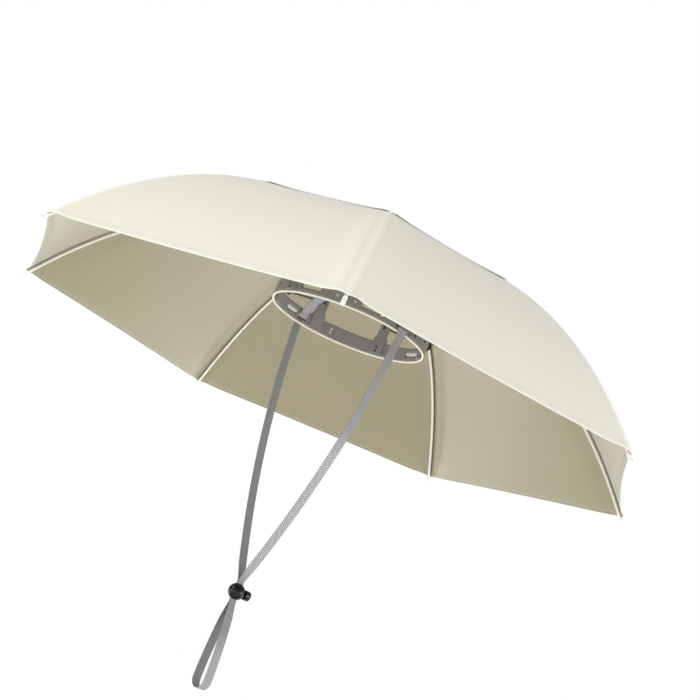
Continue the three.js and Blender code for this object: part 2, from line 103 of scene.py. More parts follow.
# %% [markdown]
# ## Studio
# The hat is shown in a plain white studio: a pale floor well below it, a white surround that lights it
# softly from every side, and one large lamp in front and to the left that makes one panel a little
# brighter than the next. A sharp lamp would put hard shadows on the cloth, so the lamp is wide. Two
# weaker ones stand low at the sides and light the inside of the side panels. The
# surround is seen whiter than it shines, so that its light leaves some shade inside the canopy. The
# floor glows like a lamp and lights the inside of the canopy from below; right under the hat its glow
# fades to a painted shadow. The floor is clear when it is seen from below, so that the inside of the
# canopy can be looked at.

# %% Studio
FLOOR_HEIGHT = -0.75
FLOOR_SIZE = 24.0
FLOOR_GLOW = 0.95
GLOW_IN_PAINTED_SHADOW = 0.1
GLOW_STARTS = 0.85
GLOW_IS_FULL = 1.3
SURROUND_LIGHT = 0.53
KEY_POWER = 51.0
KEY_SIZE = 2.4
KEY_PLACE = Vector((-0.9, -3.2, 2.2))
SIDE_SIZE = 2.0
SIDE_LAMPS = [
    {"name": "right_lamp", "place": Vector((2.4, 2.0, -0.35)), "power": 40.0},
    {"name": "left_lamp", "place": Vector((-1.0, -3.0, -0.35)), "power": 10.0},
]


def add_surround():
    world = bpy.data.worlds.new("studio")
    world.use_nodes = True
    tree = world.node_tree
    tree.nodes.clear()
    output = tree.nodes.new("ShaderNodeOutputWorld")
    seen = tree.nodes.new("ShaderNodeBackground")
    shining = tree.nodes.new("ShaderNodeBackground")
    shining.inputs["Strength"].default_value = SURROUND_LIGHT
    for background in (seen, shining):
        background.inputs["Color"].default_value = (1, 1, 1, 1)
    path = tree.nodes.new("ShaderNodeLightPath")
    mix = tree.nodes.new("ShaderNodeMixShader")
    tree.links.new(path.outputs["Is Camera Ray"], mix.inputs[0])
    tree.links.new(shining.outputs[0], mix.inputs[1])
    tree.links.new(seen.outputs[0], mix.inputs[2])
    tree.links.new(mix.outputs[0], output.inputs[0])
    bpy.context.scene.world = world


def add_lamp(name, place, power, size):
    data = bpy.data.lights.new(name, "AREA")
    data.energy = power
    data.shape = "DISK"
    data.size = size
    lamp = bpy.data.objects.new(name, data)
    bpy.context.scene.collection.objects.link(lamp)
    lamp.location = place
    lamp.rotation_euler = (CAMERA_TARGET - place).to_track_quat("-Z", "Y").to_euler()


def add_floor():
    half = FLOOR_SIZE / 2
    mesh = bpy.data.meshes.new("floor")
    corners = [(-half, -half), (half, -half), (half, half), (-half, half)]
    mesh.from_pydata([(x, y, FLOOR_HEIGHT) for x, y in corners], [], [(0, 1, 2, 3)])
    material = bpy.data.materials.new("glowing_floor")
    material.use_nodes = True
    shader = material.node_tree.nodes["Principled BSDF"]
    shader.inputs["Base Color"].default_value = (0.9, 0.9, 0.9, 1)
    shader.inputs["Roughness"].default_value = 1.0
    # The floor glows: its emission lights the hat from below, and near the middle it fades to a painted
    # shadow under the hat.
    shader.inputs["Emission Strength"].default_value = FLOOR_GLOW
    tree = material.node_tree
    place = tree.nodes.new("ShaderNodeTexCoord")
    reach = tree.nodes.new("ShaderNodeVectorMath")
    reach.operation = "LENGTH"
    fade = tree.nodes.new("ShaderNodeMapRange")
    fade.inputs["From Min"].default_value = GLOW_STARTS
    fade.inputs["From Max"].default_value = GLOW_IS_FULL
    fade.inputs["To Min"].default_value = GLOW_IN_PAINTED_SHADOW
    tree.links.new(place.outputs["Object"], reach.inputs[0])
    tree.links.new(reach.outputs["Value"], fade.inputs["Value"])
    tree.links.new(fade.outputs["Result"], shader.inputs["Emission Color"])
    side = tree.nodes.new("ShaderNodeNewGeometry")
    clear = tree.nodes.new("ShaderNodeBsdfTransparent")
    mix = tree.nodes.new("ShaderNodeMixShader")
    tree.links.new(side.outputs["Backfacing"], mix.inputs[0])
    tree.links.new(shader.outputs[0], mix.inputs[1])
    tree.links.new(clear.outputs[0], mix.inputs[2])
    tree.links.new(mix.outputs[0], tree.nodes["Material Output"].inputs["Surface"])
    mesh.materials.append(material)
    floor = bpy.data.objects.new("floor", mesh)
    bpy.context.scene.collection.objects.link(floor)


add_surround()
add_lamp("key_lamp", KEY_PLACE, KEY_POWER, KEY_SIZE)
for lamp in SIDE_LAMPS:
    add_lamp(lamp["name"], lamp["place"], lamp["power"], SIDE_SIZE)
add_floor()
bpy.context.scene.view_settings.view_transform = "Standard"
print("floor at", FLOOR_HEIGHT)

# %% [markdown]
# ## Making meshes
# Most pieces here are one of four things: a grid of points, a section swept along a line, an outline
# turned round an axis, or a flat outline with a thickness. Each way gets one short function, so that
# a piece is described only by its sizes. Points are worked out with numpy and handed to Blender at
# once, which is quicker and easier to read than adding vertices one by one.

# %% Helpers that make meshes
SMOOTH_ANGLE = math.radians(35)


def new_piece(name, mesh):
    """Links a mesh into the scene as a named object."""
    piece = bpy.data.objects.new(name, mesh)
    bpy.context.scene.collection.objects.link(piece)
    return piece


def smooth(mesh):
    """Smooth shading, with the edges that are bent more than SMOOTH_ANGLE kept crisp."""
    mesh.shade_smooth()
    mesh.set_sharp_from_angle(angle=SMOOTH_ANGLE)


def mesh_from(name, points, faces):
    mesh = bpy.data.meshes.new(name)
    mesh.from_pydata([tuple(p) for p in points], [], [tuple(f) for f in faces])
    smooth(mesh)
    return mesh


def ring_faces(rings, sides, closed=False):
    """Quads between rings of points; closed joins the last ring to the first."""
    count = rings if closed else rings - 1
    return [
        (
            i * sides + j,
            i * sides + (j + 1) % sides,
            (i + 1) % rings * sides + (j + 1) % sides,
            (i + 1) % rings * sides + j,
        )
        for i in range(count)
        for j in range(sides)
    ]


def capped_rings(name, rings):
    """A closed body through rings of points that all have the same number of sides."""
    sides = len(rings[0])
    points = [p for ring in rings for p in ring]
    faces = ring_faces(len(rings), sides)
    faces.append(tuple(reversed(range(sides))))
    faces.append(tuple(range((len(rings) - 1) * sides, len(rings) * sides)))
    return mesh_from(name, points, faces)


def swept(name, centres, sideways, section):
    """Sweeps a section along centres. Its x runs along sideways, and its y across that and the line."""
    rings = []
    for i, centre in enumerate(centres):
        ahead = centres[min(i + 1, len(centres) - 1)] - centres[max(i - 1, 0)]
        side = sideways.normalized()
        over = side.cross(ahead).normalized()
        rings.append([centre + x * side + y * over for x, y in section])
    return capped_rings(name, rings)


def turned(name, outline, sides):
    """Turns an outline of (radius, height) round +Z. Both ends of the outline are on the axis."""
    points = [Vector((0, 0, outline[0][1]))]
    for radius, height in outline[1:-1]:
        for j in range(sides):
            a = 2 * math.pi * j / sides
            points.append(Vector((radius * math.cos(a), radius * math.sin(a), height)))
    points.append(Vector((0, 0, outline[-1][1])))
    faces = []
    for j in range(sides):
        k = (j + 1) % sides
        faces.append((0, 1 + k, 1 + j))
        last = 1 + (len(outline) - 3) * sides
        faces.append((len(points) - 1, last + j, last + k))
    for face in ring_faces(len(outline) - 2, sides):
        faces.append(tuple(1 + v for v in face))
    return mesh_from(name, points, faces)


def circle(radius, sides):
    return [
        (radius * math.cos(2 * math.pi * j / sides), radius * math.sin(2 * math.pi * j / sides))
        for j in range(sides)
    ]


def rounded(corners, steps=4):
    """An outline with its corners rounded: each corner is (x, y, radius)."""
    outline = []
    for i, (x, y, radius) in enumerate(corners):
        here = Vector((x, y))
        if radius == 0:
            outline.append(here)
            continue
        before = (Vector(corners[i - 1][:2]) - here).normalized()
        after = (Vector(corners[(i + 1) % len(corners)][:2]) - here).normalized()
        half = before.angle(after) / 2
        centre = here + (before + after).normalized() * radius / math.sin(half)
        first = here + before * radius / math.tan(half) - centre
        last = here + after * radius / math.tan(half) - centre
        start = math.atan2(first.y, first.x)
        turn = (math.atan2(last.y, last.x) - start + math.pi) % (2 * math.pi) - math.pi
        for j in range(steps + 1):
            a = start + turn * j / steps
            outline.append(centre + radius * Vector((math.cos(a), math.sin(a))))
    return outline


def rounded_box(width, height, radius, x=0.0, y=0.0):
    """The outline of a rectangle with round corners about the point (x, y)."""
    w = width / 2
    h = height / 2
    return rounded(
        [
            (x - w, y - h, radius),
            (x + w, y - h, radius),
            (x + w, y + h, radius),
            (x - w, y + h, radius),
        ]
    )


def plate(name, outlines, thickness, bevel):
    """A flat plate of the first outline, with the others cut through and all its edges rounded."""
    curve = bpy.data.curves.new(name, "CURVE")
    curve.dimensions = "2D"
    curve.fill_mode = "BOTH"
    curve.extrude = thickness / 2 - bevel
    curve.bevel_depth = bevel
    curve.bevel_resolution = 2
    curve.offset = -bevel
    for outline in outlines:
        spline = curve.splines.new("POLY")
        spline.points.add(len(outline) - 1)
        for point, (x, y) in zip(spline.points, outline):
            point.co = (x, y, 0, 1)
        spline.use_cyclic_u = True
    pattern = bpy.data.objects.new(name, curve)
    bpy.context.scene.collection.objects.link(pattern)
    depsgraph = bpy.context.evaluated_depsgraph_get()
    mesh = bpy.data.meshes.new_from_object(pattern.evaluated_get(depsgraph))
    bpy.data.objects.remove(pattern)
    work = bmesh.new()
    work.from_mesh(mesh)
    bmesh.ops.remove_doubles(work, verts=work.verts, dist=1e-6)
    bmesh.ops.recalc_face_normals(work, faces=work.faces)
    work.to_mesh(mesh)
    work.free()
    mesh.name = name
    smooth(mesh)
    return mesh


def merged(name, meshes):
    """One mesh that holds all the given ones."""
    work = bmesh.new()
    for mesh in meshes:
        work.from_mesh(mesh)
    result = bpy.data.meshes.new(name)
    work.to_mesh(result)
    work.free()
    smooth(result)
    return result


def moved(mesh, matrix):
    mesh.transform(matrix)
    return mesh


def painted(mesh, *materials):
    for material in materials:
        mesh.materials.append(material)
    return mesh


def finished(mesh, *materials):
    """The mesh with its materials, as an object of the mesh's name."""
    return new_piece(mesh.name, painted(mesh, *materials))


def ride_on_hat(piece, slot, *nodes):
    """The piece moves with the hat and stands for those nodes of the frame. The slot is not used."""
    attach(piece, "hat")
    if nodes:
        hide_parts(*nodes)
    return piece


print("helpers are ready")

# %% [markdown]
# ## Finishes from shader groups
# Several finishes share an effect: cloth has a plain weave, webbing a zigzag one, and moulded plastic
# a fine grain. Each effect is a node group with named inputs, built once and placed in each material
# with its own values. The groups put out only heights and masks, and each material keeps its own
# Principled BSDF, so its roughness and sheen stay plain values.

# %% Helpers that wire shader nodes


def new_group(name, inputs, outputs):
    group = bpy.data.node_groups.new(name, "ShaderNodeTree")
    for label, kind, value in inputs:
        socket = group.interface.new_socket(name=label, in_out="INPUT", socket_type=kind)
        if value is not None:
            socket.default_value = value
    for label, kind in outputs:
        group.interface.new_socket(name=label, in_out="OUTPUT", socket_type=kind)
    return group, group.nodes.new("NodeGroupInput"), group.nodes.new("NodeGroupOutput")


def feed(tree, slot, value):
    """Links a socket into a slot, or sets a number or a colour there."""
    if isinstance(value, bpy.types.NodeSocket):
        tree.links.new(value, slot)
    elif isinstance(value, tuple):
        slot.default_value = (*value, 1.0)
    else:
        slot.default_value = value


def calculate(tree, operation, *operands):
    """A Math node. Each operand is a socket or a number."""
    node = tree.nodes.new("ShaderNodeMath")
    node.operation = operation
    for slot, operand in zip(node.inputs, operands):
        feed(tree, slot, operand)
    return node.outputs[0]


def held(tree, value, most):
    """A value kept between 0 and most."""
    return calculate(tree, "MINIMUM", calculate(tree, "MAXIMUM", value, 0.0), most)


def split_place(tree, place):
    """The three numbers of a place."""
    node = tree.nodes.new("ShaderNodeSeparateXYZ")
    tree.links.new(place, node.inputs[0])
    return node.outputs


def noise(tree, place, scale, detail=2.0):
    node = tree.nodes.new("ShaderNodeTexNoise")
    tree.links.new(place, node.inputs["Vector"])
    feed(tree, node.inputs["Scale"], scale)
    node.inputs["Detail"].default_value = detail
    return node.outputs["Fac"]


def mix_colours(tree, share, first, second):
    node = tree.nodes.new("ShaderNodeMix")
    node.data_type = "RGBA"
    for slot, value in ((node.inputs[0], share), (node.inputs[6], first), (node.inputs[7], second)):
        feed(tree, slot, value)
    return node.outputs[2]


FLOAT = "NodeSocketFloat"
VECTOR = "NodeSocketVector"

# %% [markdown]
# Plain weave: the threads of the canopy cross one over one. Two sine waves multiplied give the
# raised crossings, and a slow noise makes some threads a little thicker than others, as they are in
# real cloth. An image of cloth would do the same, but it would repeat and be tied to one size.

# %% Plain weave
weave_group, ins, outs = new_group(
    "plain_weave",
    [("Place", VECTOR, None), ("Threads", FLOAT, 1800.0), ("Slub", FLOAT, 0.3)],
    [("Height", FLOAT), ("Shade", FLOAT)],
)
split = split_place(weave_group, ins.outputs["Place"])
turns = calculate(weave_group, "MULTIPLY", ins.outputs["Threads"], math.pi)
warp = calculate(weave_group, "SINE", calculate(weave_group, "MULTIPLY", split[0], turns))
weft = calculate(weave_group, "SINE", calculate(weave_group, "MULTIPLY", split[1], turns))
crossing = calculate(weave_group, "MULTIPLY", warp, weft)
slub_noise = noise(weave_group, ins.outputs["Place"], 220.0)
slub = calculate(weave_group, "MULTIPLY", slub_noise, ins.outputs["Slub"])
raised = calculate(weave_group, "MULTIPLY_ADD", crossing, 0.5, 0.5)
weave_group.links.new(calculate(weave_group, "ADD", raised, slub), outs.inputs["Height"])
shade_noise = noise(weave_group, ins.outputs["Place"], 9.0, 3.0)
weave_group.links.new(shade_noise, outs.inputs["Shade"])
print("group:", weave_group.name)

# %% [markdown]
# Zigzag weave: webbing is woven with a herringbone face. Across the band the diagonal changes
# direction from column to column, so the distance across is folded with a ping-pong before it is
# added to the distance along. The group puts out a mask that colours the two threads and a height.

# %% Zigzag weave
zigzag_group, ins, outs = new_group(
    "zigzag_weave",
    [("Place", VECTOR, None), ("Column", FLOAT, 0.002), ("Pitch", FLOAT, 0.0019)],
    [("Height", FLOAT), ("Thread", FLOAT)],
)
split = split_place(zigzag_group, ins.outputs["Place"])
folded = calculate(zigzag_group, "PINGPONG", split[0], ins.outputs["Column"])
slanted = calculate(zigzag_group, "ADD", folded, split[1])
phase = calculate(zigzag_group, "DIVIDE", slanted, ins.outputs["Pitch"])
wave = calculate(zigzag_group, "SINE", calculate(zigzag_group, "MULTIPLY", phase, 2 * math.pi))
thread = calculate(zigzag_group, "MULTIPLY_ADD", wave, 0.5, 0.5)
fuzz = noise(zigzag_group, ins.outputs["Place"], 2500.0)
fuzzy = calculate(zigzag_group, "MULTIPLY_ADD", fuzz, 0.35, thread)
zigzag_group.links.new(fuzzy, outs.inputs["Height"])
zigzag_group.links.new(calculate(zigzag_group, "SMOOTH_MIN", thread, 1.0, 0.2), outs.inputs["Thread"])
print("group:", zigzag_group.name)

# %% [markdown]
# Seam and hem masks: cloth is doubled along the seams over the ribs and round the hem, and the finishes
# change colour there, mostly as painted light: a painted highlight on the ridge and the hem outside, and
# a painted shadow beside each rib inside. A second UV map holds the way to the nearest rib and the way
# in from the rim, in metres, and this group turns both into soft masks.

# %% Sewn edges
edge_group, ins, outs = new_group(
    "seam_and_hem_masks",
    [
        ("Place", VECTOR, None),
        ("Seam Width", FLOAT, 3 * MM),
        ("Hem Width", FLOAT, 5 * MM),
        ("Softness", FLOAT, 0.8 * MM),
    ],
    [("Seam", FLOAT), ("Hem", FLOAT)],
)
split = split_place(edge_group, ins.outputs["Place"])
for axis, label in enumerate(("Seam", "Hem")):
    within = calculate(edge_group, "SUBTRACT", ins.outputs[label + " Width"], split[axis])
    share = calculate(edge_group, "DIVIDE", within, ins.outputs["Softness"])
    edge_group.links.new(held(edge_group, share, 1.0), outs.inputs[label])
print("group:", edge_group.name)

# %% [markdown]
# Fine grain: a moulded or painted surface is never perfectly even. A fine noise gives the skin its
# texture, and a slow one varies the tone where it was handled.

# %% Fine grain
grain_group, ins, outs = new_group(
    "fine_grain",
    [("Place", VECTOR, None), ("Scale", FLOAT, 1500.0)],
    [("Height", FLOAT), ("Tone", FLOAT)],
)
grain_group.links.new(noise(grain_group, ins.outputs["Place"], ins.outputs["Scale"]), outs.inputs["Height"])
grain_group.links.new(noise(grain_group, ins.outputs["Place"], 35.0, 3.0), outs.inputs["Tone"])
print("group:", grain_group.name)

# %% [markdown]
# A finish is a material with one Principled BSDF. Its colour runs between two near tones, and its
# bump comes from a group. Cloth and webbing read a UV map in metres that lies along their threads,
# and everything moulded reads its own place in the frame.

# %% Build a finish


def finish_from(name, group, values, light, dark, mask, roughness, bump, cloth_map=None, **settings):
    """A material whose colour goes from light to dark with the group's mask."""
    material = bpy.data.materials.new(name)
    material.use_nodes = True
    tree = material.node_tree
    shader = tree.nodes["Principled BSDF"]
    effect = tree.nodes.new("ShaderNodeGroup")
    effect.node_tree = group
    for label, value in values.items():
        effect.inputs[label].default_value = value
    if cloth_map:
        place = tree.nodes.new("ShaderNodeUVMap")
        place.uv_map = cloth_map
        tree.links.new(place.outputs["UV"], effect.inputs["Place"])
    else:
        place = tree.nodes.new("ShaderNodeTexCoord")
        tree.links.new(place.outputs["Object"], effect.inputs["Place"])
    colour = mix_colours(tree, effect.outputs[mask], light, dark)
    tree.links.new(colour, shader.inputs["Base Color"])
    strength, depth = bump
    relief = tree.nodes.new("ShaderNodeBump")
    relief.inputs["Strength"].default_value = strength
    relief.inputs["Distance"].default_value = depth
    tree.links.new(effect.outputs["Height"], relief.inputs["Height"])
    tree.links.new(relief.outputs["Normal"], shader.inputs["Normal"])
    shader.inputs["Roughness"].default_value = roughness
    for label, value in settings.items():
        shader.inputs[label.replace("_", " ").title().replace("Ior", "IOR")].default_value = value
    return material


def seam_and_hem_shading(material, seam_width, seam_colour, hem_width, hem_colour, softness):
    """Colours the seams and the hem of a cloth finish; the calls below paint highlight and shadow with it.
    """
    tree = material.node_tree
    base = tree.nodes["Principled BSDF"].inputs["Base Color"]
    place = tree.nodes.new("ShaderNodeUVMap")
    place.uv_map = "seams"
    edges = tree.nodes.new("ShaderNodeGroup")
    edges.node_tree = edge_group
    edges.inputs["Seam Width"].default_value = seam_width
    edges.inputs["Hem Width"].default_value = hem_width
    edges.inputs["Softness"].default_value = softness
    tree.links.new(place.outputs["UV"], edges.inputs["Place"])
    plain = base.links[0].from_socket
    seamed = mix_colours(tree, edges.outputs["Seam"], plain, seam_colour)
    hemmed = mix_colours(tree, edges.outputs["Hem"], seamed, hem_colour)
    tree.links.new(hemmed, base)
    return material


def grained(name, scale, **settings):
    """A moulded, painted or spun finish, with the fine grain and its slow change of tone."""
    return finish_from(name, grain_group, {"Scale": scale}, mask="Tone", **settings)


cloth_outside = finish_from(
    "cloth_outside", weave_group, {"Threads": 1600.0}, light=(0.88, 0.85, 0.74),
    dark=(0.86, 0.83, 0.71), mask="Shade", roughness=0.85, bump=(0.25, 0.1 * MM), cloth_map="threads",
    sheen_weight=0.05,
)
# The lighter band along each rib is a painted highlight on the ridge, partly the whiter doubled seam; the
# lighter hem is a painted highlight along the rim.
seam_and_hem_shading(cloth_outside, 7 * MM, (0.98, 0.955, 0.86), 5 * MM, (0.92, 0.89, 0.79), 6.5 * MM)
cloth_inside = finish_from(
    "cloth_inside", weave_group, {"Threads": 1600.0}, light=(0.322, 0.277, 0.142),
    dark=(0.295, 0.252, 0.122), mask="Shade", roughness=0.42, bump=(0.15, 0.08 * MM),
    cloth_map="threads", coat_weight=1.0, coat_roughness=0.28, coat_ior=2.0, sheen_weight=0.3,
    sheen_roughness=0.35,
)
# The dark strip beside each rib is a painted shadow: the shade in the gap between the rib and the cloth.
seam_and_hem_shading(cloth_inside, 3.4 * MM, (0.12, 0.108, 0.078), 4.6 * MM, (0.29, 0.25, 0.13), 0.8 * MM)
thread_finish = grained(
    "sewing_thread", 4000.0, light=(0.9, 0.88, 0.8), dark=(0.8, 0.78, 0.68), roughness=0.8,
    bump=(0.3, 0.05 * MM),
)
rib_finish = grained(
    "cream_rod", 900.0, light=(0.93, 0.9, 0.82), dark=(0.88, 0.85, 0.75), roughness=0.35,
    bump=(0.08, 0.05 * MM),
)
white_plastic = grained(
    "white_plastic", 1800.0, light=(0.99, 0.985, 0.97), dark=(0.96, 0.95, 0.93), roughness=0.32,
    bump=(0.1, 0.05 * MM),
)
bead_finish = grained(
    "cream_bead", 1500.0, light=(0.93, 0.9, 0.8), dark=(0.86, 0.82, 0.7), roughness=0.45,
    bump=(0.15, 0.05 * MM),
)
ring_plastic = grained(
    "ring_plastic", 2200.0, light=(0.285, 0.276, 0.275), dark=(0.18, 0.174, 0.165), roughness=0.42,
    bump=(0.2, 0.06 * MM),
)
# A near-black used as painted shade: in hollows and holes, on the band's upper faces and beside the strap
# slots.
painted_shade = grained(
    "painted_shade_black", 2200.0, light=(0.03, 0.03, 0.035), dark=(0.02, 0.02, 0.022), roughness=0.6,
    bump=(0.1, 0.05 * MM),
)
screw_metal = grained(
    "screw_metal", 3000.0, light=(0.85, 0.84, 0.83), dark=(0.72, 0.71, 0.71), roughness=0.35,
    bump=(0.1, 0.03 * MM), metallic=0.25,
)
black_plastic = grained(
    "black_plastic", 2600.0, light=(0.012, 0.012, 0.013), dark=(0.006, 0.006, 0.007), roughness=0.5,
    bump=(0.25, 0.05 * MM), specular_ior_level=0.25,
)
black_paint = grained(
    "black_paint", 1200.0, light=(0.03, 0.03, 0.032), dark=(0.02, 0.02, 0.021), roughness=0.3,
    bump=(0.1, 0.04 * MM), coat_weight=0.3,
)
gloss_black = grained(
    "gloss_black", 300.0, light=(0.004, 0.004, 0.0045), dark=(0.002, 0.002, 0.0025), roughness=0.12,
    bump=(0.03, 0.05 * MM), coat_weight=0.1, specular_ior_level=0.3,
)
webbing_face = finish_from(
    "webbing_face", zigzag_group, {"Pitch": 2.4 * MM}, light=(0.06, 0.06, 0.07),
    dark=(0.72, 0.72, 0.76), mask="Thread", roughness=0.75, bump=(0.7, 0.25 * MM), cloth_map="threads",
    sheen_weight=0.2,
)
webbing_back = finish_from(
    "webbing_back", zigzag_group, {"Pitch": 2.4 * MM}, light=(0.07, 0.072, 0.078),
    dark=(0.38, 0.384, 0.4), mask="Thread", roughness=0.8, bump=(0.5, 0.15 * MM), cloth_map="threads",
    sheen_weight=0.15,
)


def fade_to_plain(material, colour, middle, flat, soft, most):
    """The webbing's pattern fades to a plain colour within a band of heights."""
    tree = material.node_tree
    base = tree.nodes["Principled BSDF"].inputs["Base Color"]
    place = tree.nodes.new("ShaderNodeTexCoord")
    height = split_place(tree, place.outputs["Object"])[2]
    away = calculate(tree, "ABSOLUTE", calculate(tree, "SUBTRACT", height, middle))
    share = calculate(tree, "DIVIDE", calculate(tree, "SUBTRACT", flat + soft, away), soft)
    woven = base.links[0].from_socket
    tree.links.new(mix_colours(tree, held(tree, share, most), woven, colour), base)


fade_to_plain(webbing_face, (0.27, 0.265, 0.28), -70 * MM, 50 * MM, 40 * MM, 0.95)
fade_to_plain(webbing_face, (0.22, 0.223, 0.23), -365 * MM, 15 * MM, 40 * MM, 0.7)
print("finishes:", len(bpy.data.materials))

# %% [markdown]
# ## The shape of the cloth
# Each panel of the canopy is tight between two ribs. Along a rib the cloth follows one smooth power
# curve, and between the ribs it takes the straight chord and hollows inwards a little. A cloth
# simulation could find this shape, but the ribs pull the panels so tight that the formula is the
# result, so it is written out. The numbers are the frame's own, and the reach comes from its box.

# %% Dome and panels
PANELS = 7
FIRST_RIB = math.radians(-90)
CANOPY_RADIUS = -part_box("canopy")[0].y
CANOPY_RISE = 185.5 * MM
DOME_POWER = 2.7
RIM_DROP = 67 * MM
PANEL_SAG = 5.6 * MM
HALF_PANEL = math.pi / PANELS
VENT_HOLE_RADIUS = 150 * MM
VENT_RADIUS = 193 * MM


def dome_height(r):
    return CANOPY_RISE * (1 - (r / CANOPY_RADIUS) ** DOME_POWER) - RIM_DROP


def dome_slope(r):
    return -CANOPY_RISE * DOME_POWER * (r / CANOPY_RADIUS) ** (DOME_POWER - 1) / CANOPY_RADIUS


def dome_point(r, depth):
    """The distance from the axis and the height of a point at a depth under the cloth, over a rib."""
    r = np.asarray(r, float)
    on_dome = np.minimum(r, CANOPY_RADIUS)
    slope = dome_slope(on_dome)
    length = np.hypot(1, slope)
    reach = on_dome + depth * slope / length + (r - on_dome)
    height = dome_height(on_dome) - depth / length + (r - on_dome) * slope
    return reach, height


def rib_angle(k):
    return FIRST_RIB + 2 * math.pi * k / PANELS


def around(a):
    """The level direction round the hat's axis at an angle."""
    return Vector((-math.sin(a), math.cos(a), 0))


def panel_points(k, across, r, depth=0.0):
    """Points of panel k: across is an array of shares from one rib to the next, r an array of reaches.
    The depth is a number, or one for every point."""
    depths = np.broadcast_to(depth, (len(across), len(r)))
    hollow = PANEL_SAG * (r / CANOPY_RADIUS) ** 2
    points = np.zeros((len(across), len(r), 3))
    a = rib_angle(k)
    b = rib_angle(k + 1)
    for c, t in enumerate(across):
        reach, height = dome_point(r, depths[c])
        out = reach - hollow * 4 * t * (1 - t) / math.cos(HALF_PANEL)
        points[c, :, 0] = out * ((1 - t) * math.cos(a) + t * math.cos(b))
        points[c, :, 1] = out * ((1 - t) * math.sin(a) + t * math.sin(b))
        points[c, :, 2] = height
    return points


def along_rib(k, r, depth):
    """A point on rib k."""
    reach, height = dome_point(r, depth)
    a = rib_angle(k)
    return Vector((float(reach) * math.cos(a), float(reach) * math.sin(a), float(height)))


print("canopy radius:", round(CANOPY_RADIUS, 4), "top:", round(float(dome_height(0.0)), 4))

# %% [markdown]
# ## The canopies
# The cloth is half a millimetre thick. Over each rib the panels are sewn together, so there the seam
# allowance makes a soft raised spine outside and a narrow double strip inside, and round each rim
# the edge is rolled into a hem. A flat plane with a Solidify modifier would give none of these, so
# the outside and the inside are two surfaces with their own offsets, joined round both edges into
# one closed skin. The columns are close together beside the ribs, where the shape changes fast.

# %% Cloth shell
CLOTH_THICKNESS = 0.5 * MM
SPINE_HEIGHT = 0.3 * MM
SPINE_WIDTH = 4 * MM
RIDGE_WIDTH = 14 * MM
ALLOWANCE_WIDTH = 7 * MM
ALLOWANCE_DEPTH = 0.45 * MM
ALLOWANCE_SOFTNESS = 0.6 * MM
HEM_WIDTH = 5 * MM
HEM_SOFTNESS = 1 * MM
HEM_SHARES = np.array([0, 0.35, 0.7, 0.9])
HEM_THICKNESS = 0.2 * MM
HALF_COLUMNS = [0, 0.004, 0.009, 0.015, 0.023, 0.034, 0.05, 0.075, 0.11, 0.16, 0.22, 0.29, 0.36, 0.43]
COLUMNS = HALF_COLUMNS + [0.5] + [1 - t for t in reversed(HALF_COLUMNS[1:])]


def soft_step(x):
    x = np.clip(x, 0, 1)
    return x * x * (3 - 2 * x)


def rows_between(inner, outer, count):
    """Reaches from inner to outer, with extra rows where the hem's edge is."""
    hem = HEM_WIDTH / math.hypot(1, dome_slope(outer))
    plain = np.linspace(inner + hem, outer - hem, count)
    return np.concatenate([inner + hem * HEM_SHARES, plain, outer - hem * HEM_SHARES[::-1]])


def unit_normals(points):
    """Outward normals of a grid that closes on itself along its first axis."""
    across = np.roll(points, -1, 0) - np.roll(points, 1, 0)
    along = np.gradient(points, axis=1)
    normal = np.cross(along, across)
    return normal / np.linalg.norm(normal, axis=2, keepdims=True)


def cloth_shell(name, inner, outer, lift, count, hem_thickness, turned_rows):
    """The closed skin of a canopy. lift(r, shares) gives its outer face's height over the dome. The
    outside of the cloth is turned in over turned_rows rows of the inside."""
    r = rows_between(inner, outer, count)
    across = np.array(COLUMNS)
    lifts = lift(r, across)
    grid = np.concatenate([panel_points(k, across, r, -lifts) for k in range(PANELS)])
    normal = unit_normals(grid)
    length = np.concatenate([[0], np.cumsum(np.hypot(np.diff(r), np.diff(dome_height(r))))])
    width = 2 * r * math.sin(HALF_PANEL)
    share = np.tile(across, PANELS)[:, None]
    from_rib = np.minimum(share, 1 - share) * width[None, :]
    spine = SPINE_HEIGHT * np.exp(-((from_rib / SPINE_WIDTH) ** 2))
    grid = grid + normal * ridge(r, width, from_rib)[:, :, None]
    near = np.where(share < 0.5, share * width[None, :], 1.0)
    allowance = ALLOWANCE_DEPTH * (1 - soft_step((near - ALLOWANCE_WIDTH) / ALLOWANCE_SOFTNESS))
    to_edge = np.minimum(length[-1] - length, length - length[0])
    hem = hem_thickness * (1 - soft_step((to_edge - HEM_WIDTH + HEM_SOFTNESS) / HEM_SOFTNESS))
    outside = grid + normal * (spine + hem)[:, :, None]
    inside = grid - normal * (CLOTH_THICKNESS + allowance + hem)[:, :, None]
    middle = grid - normal * CLOTH_THICKNESS / 2
    rim = middle[:, -1] + edge_run(grid[:, -2], grid[:, -1])
    mouth = middle[:, 0] + edge_run(grid[:, 1], grid[:, 0])
    loops = np.concatenate([outside, rim[:, None], inside[:, ::-1], mouth[:, None]], axis=1)
    rows = loops.shape[1]
    mesh = mesh_from(name, loops.reshape(-1, 3), ring_faces(len(loops), rows, closed=True))
    at_row = np.concatenate([length, [length[-1]], length[::-1], [0]])
    at_width = np.concatenate([width, [width[-1]], width[::-1], [width[0]]])
    column, row = np.divmod(np.arange(len(mesh.polygons)), rows)
    add_cloth_maps(mesh, column, row, at_row, at_width)
    mesh.materials.append(cloth_outside)
    mesh.materials.append(cloth_inside)
    is_inside = (row >= len(r) + turned_rows) & (row < rows - 1)
    mesh.polygons.foreach_set("material_index", is_inside.astype(np.int32))
    mesh.shade_smooth()
    panel_area = float(np.sum((width[1:] + width[:-1]) / 2 * np.diff(length)))
    return new_piece(name, mesh), length[-1], panel_area * PANELS


